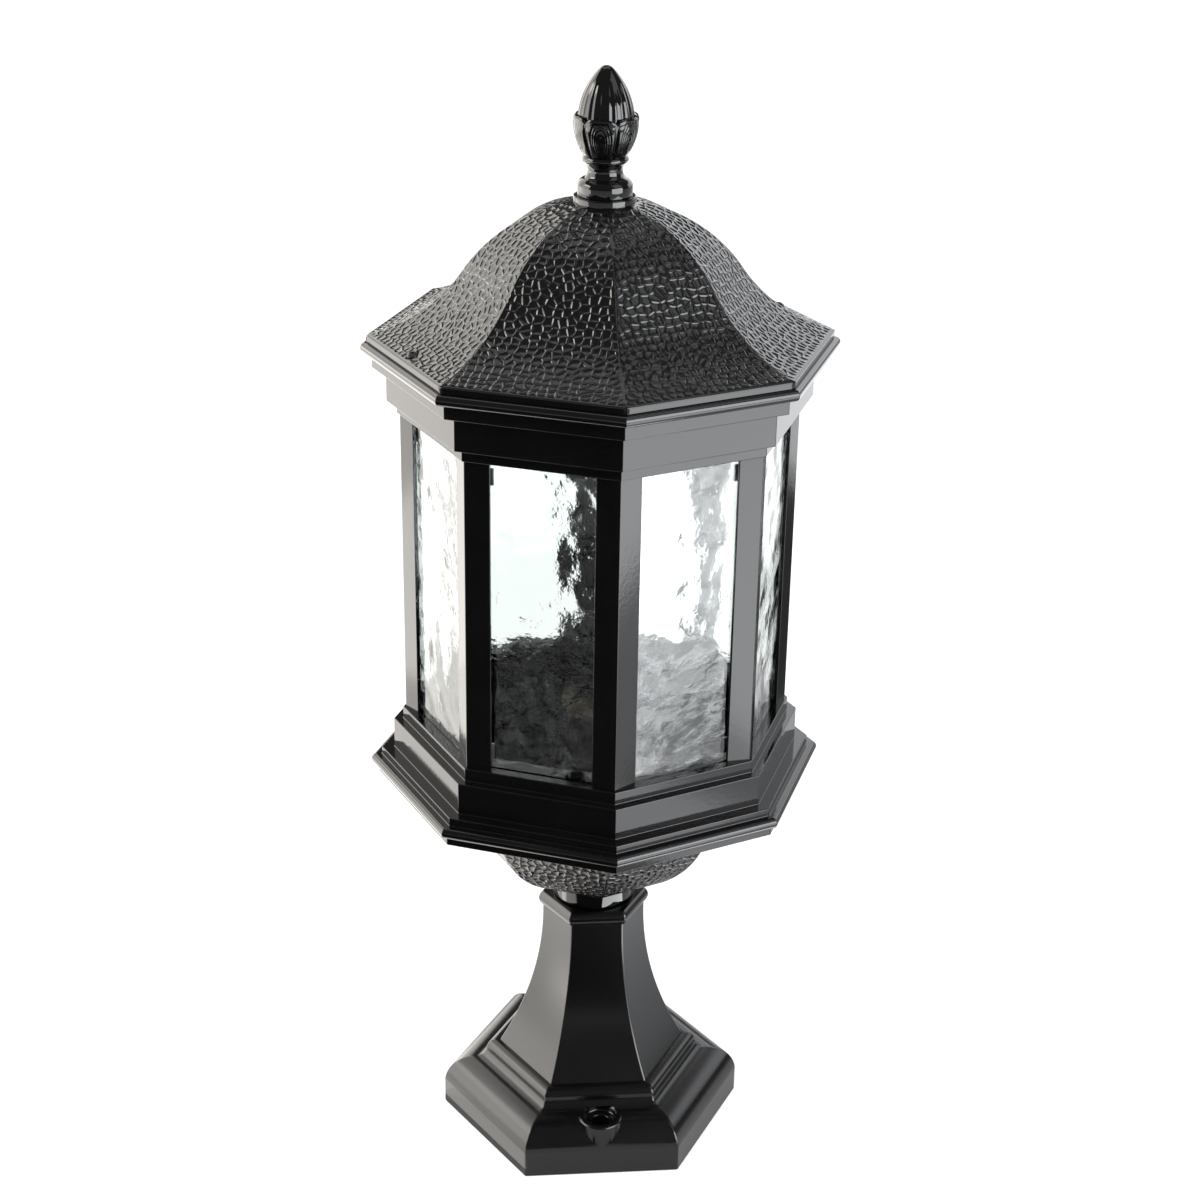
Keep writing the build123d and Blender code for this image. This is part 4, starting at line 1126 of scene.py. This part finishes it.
# name: centre, size, turns about X and Z, strength, colour, and a patchy strength if panes mirror it inside
warm, plain, cool = (1.0, 0.965, 0.91), (1.0, 1.0, 1.0), (0.955, 0.975, 1.0)
cards = {
    "frontFlag": ((-0.63, -0.78, 0.003), (1.50, 1.26), 0, 0, 0.02, plain, 0.55),
    "frontFlagRight": ((0.25, -1.05, 0.003), (0.26, 1.10), 0, 0, 0.02, plain, 0.55),
    "rightFrontGlow": ((0.825, -0.72, 0.004), (0.89, 0.60), 0, 0, 6.1, cool, 6.1),
    "rightFrontFade": ((0.88, -0.35, 0.004), (1.00, 0.14), 0, 0, 1.7, cool, 1.7),
    "rightFrontNear": ((0.345, -0.38, 0.004), (0.11, 0.24), 0, 0, 3.7, cool, 3.7),
    "ringGlint": ((0.168, -0.145, 0.004), (0.24, 0.075), 0, 48, 9.0, cool),
    "ringGlintLeft": ((-0.245, 0.018, 0.005), (0.05, 0.07), 0, 0, 7.0, warm),
    "leftFootGlow": ((-0.0745, -0.043, 0.004), (0.085, 0.032), 0, -60, 2.2, warm),
    "rightBackNear": ((0.28, 0.24, 0.004), (0.34, 0.42), 0, 0, 0.85, cool),
    "rightBackShade": ((0.90, 0.33, 0.004), (0.90, 0.56), 0, 0, 0.10, cool),
    "rightBackGlow": ((0.80, 1.00, 0.004), (1.20, 0.70), 0, 0, 1.9, cool),
    "leftGlow": ((-1.00, 0.22, 0.004), (0.88, 0.48), 0, 0, 5.2, warm),
    "leftNear": ((-0.3205, 0.16, 0.004), (0.479, 0.60), 0, 0, 2.9, warm),
    "leftBackFade": ((-0.80, 0.80, 0.004), (1.30, 0.68), 0, 0, 3.4, warm),
    "leftWall": ((-1.45, 0.28, 0.76), (1.42, 1.48), 90, 90, 4.8, warm),
    "backLeftWall": ((-1.05, 1.05, 0.85), (1.9, 1.7), 90, 40, 2.9, warm),
    "backRightWall": ((1.05, 1.15, 0.83), (1.8, 0.76), 90, -35, 2.15, cool),
    "leftSoftbox": ((-1.35, 0.10, 1.35), (0.7, 0.7), 60, 94, 12.0, warm),
    "rightFrontWall": ((1.25, -1.12, 0.61), (1.50, 1.00), 90, 48, 9.0, cool),
    "finialGlow": ((-0.68, 0.12, 0.385), (0.95, 0.17), 90, 80, 6.0, warm),
    "rightHighGlow": ((0.97, -0.54, 1.62), (0.9, 0.9), 46, 61, 1.35, cool),
    "ceiling": ((0.0, 0.75, 2.3), (1.8, 1.3), 0, 0, 1.15, plain),
}


def makeCard(name, centre, size, tilt, turn, strength, colour, mirrored=None):
    look = stageLook
    card, tree = stageSheet(name, 0.5, centre, (radians(tilt), 0, radians(turn)), (*size, 1))
    power = strength
    if mirrored is not None:
        patches = noise(tree, objectPlace(tree), look.patchScale)[0]
        uneven = addNode(tree, "ShaderNodeMapRange", {"Value": patches, "From Min": look.patchFrom,
            "From Max": look.patchTo, "To Max": look.patchPeak * mirrored})
        power = between(tree, rayMix(tree, "Is Transmission Ray"), strength, uneven.outputs[0])
    glow = addNode(tree, "ShaderNodeEmission", {"Strength": power, "Color": (*colour, 1)})
    addNode(tree, "ShaderNodeOutputMaterial", {"Surface": glow.outputs[0]})
    for kind in ("camera", "diffuse", "volume_scatter", "shadow"):
        setattr(card, "visible_" + kind, False)
    card.visible_transmission = mirrored is not None


# name: place, power
lamps = {"keyLamp": ((-0.9, -0.6, 1.7), 14), "fillLamp": ((1.1, -0.5, 1.5), 9)}
lampLook = named(aim=(0, 0, 0.25), size=1.2)


def makeLamp(name, place, power):
    light = bpy.data.lights.new(name, "AREA")
    light.size, light.energy = lampLook.size, power
    lamp = bpy.data.objects.new(name, light)
    lamp.location = place
    lamp.rotation_euler = (Vector(lampLook.aim) - Vector(place)).to_track_quat("-Z", "Y").to_euler()
    lamp.visible_camera = lamp.visible_glossy = lamp.visible_transmission = False
    scene.collection.objects.link(lamp)


makeFloor()
makeWorld()
for name, facts in cards.items():
    makeCard(name, *facts)
for name, facts in lamps.items():
    makeLamp(name, *facts)


# Camera at the photograph's angle

view = named(lens=67.5, sensor=36.0, distance=1.1254, target=0.2981, elevation=23.59, azimuth=5.4, roll=-0.92,
    shift=0.0014, nearest=0.01)


def makeCamera():
    rise, swing, roll = (radians(view[key]) for key in ("elevation", "azimuth", "roll"))
    away = Vector((-cos(rise) * sin(swing), -cos(rise) * cos(swing), sin(rise)))
    right = Vector((0, 0, 1)).cross(away).normalized()
    up = away.cross(right)
    axisX = cos(roll) * right - sin(roll) * up
    axisY = sin(roll) * right + cos(roll) * up
    place = Vector((0, 0, view.target)) + away * view.distance
    camera = bpy.data.objects.new("camera", bpy.data.cameras.new("camera"))
    camera.matrix_world = Matrix.Translation(place) @ Matrix((axisX, axisY, away)).transposed().to_4x4()
    camera.data.lens, camera.data.sensor_width = view.lens, view.sensor
    camera.data.shift_x, camera.data.clip_start = view.shift, view.nearest
    scene.collection.objects.link(camera)
    scene.camera = camera


makeCamera()
scene.view_settings.view_transform = "Standard"
print("stage set")
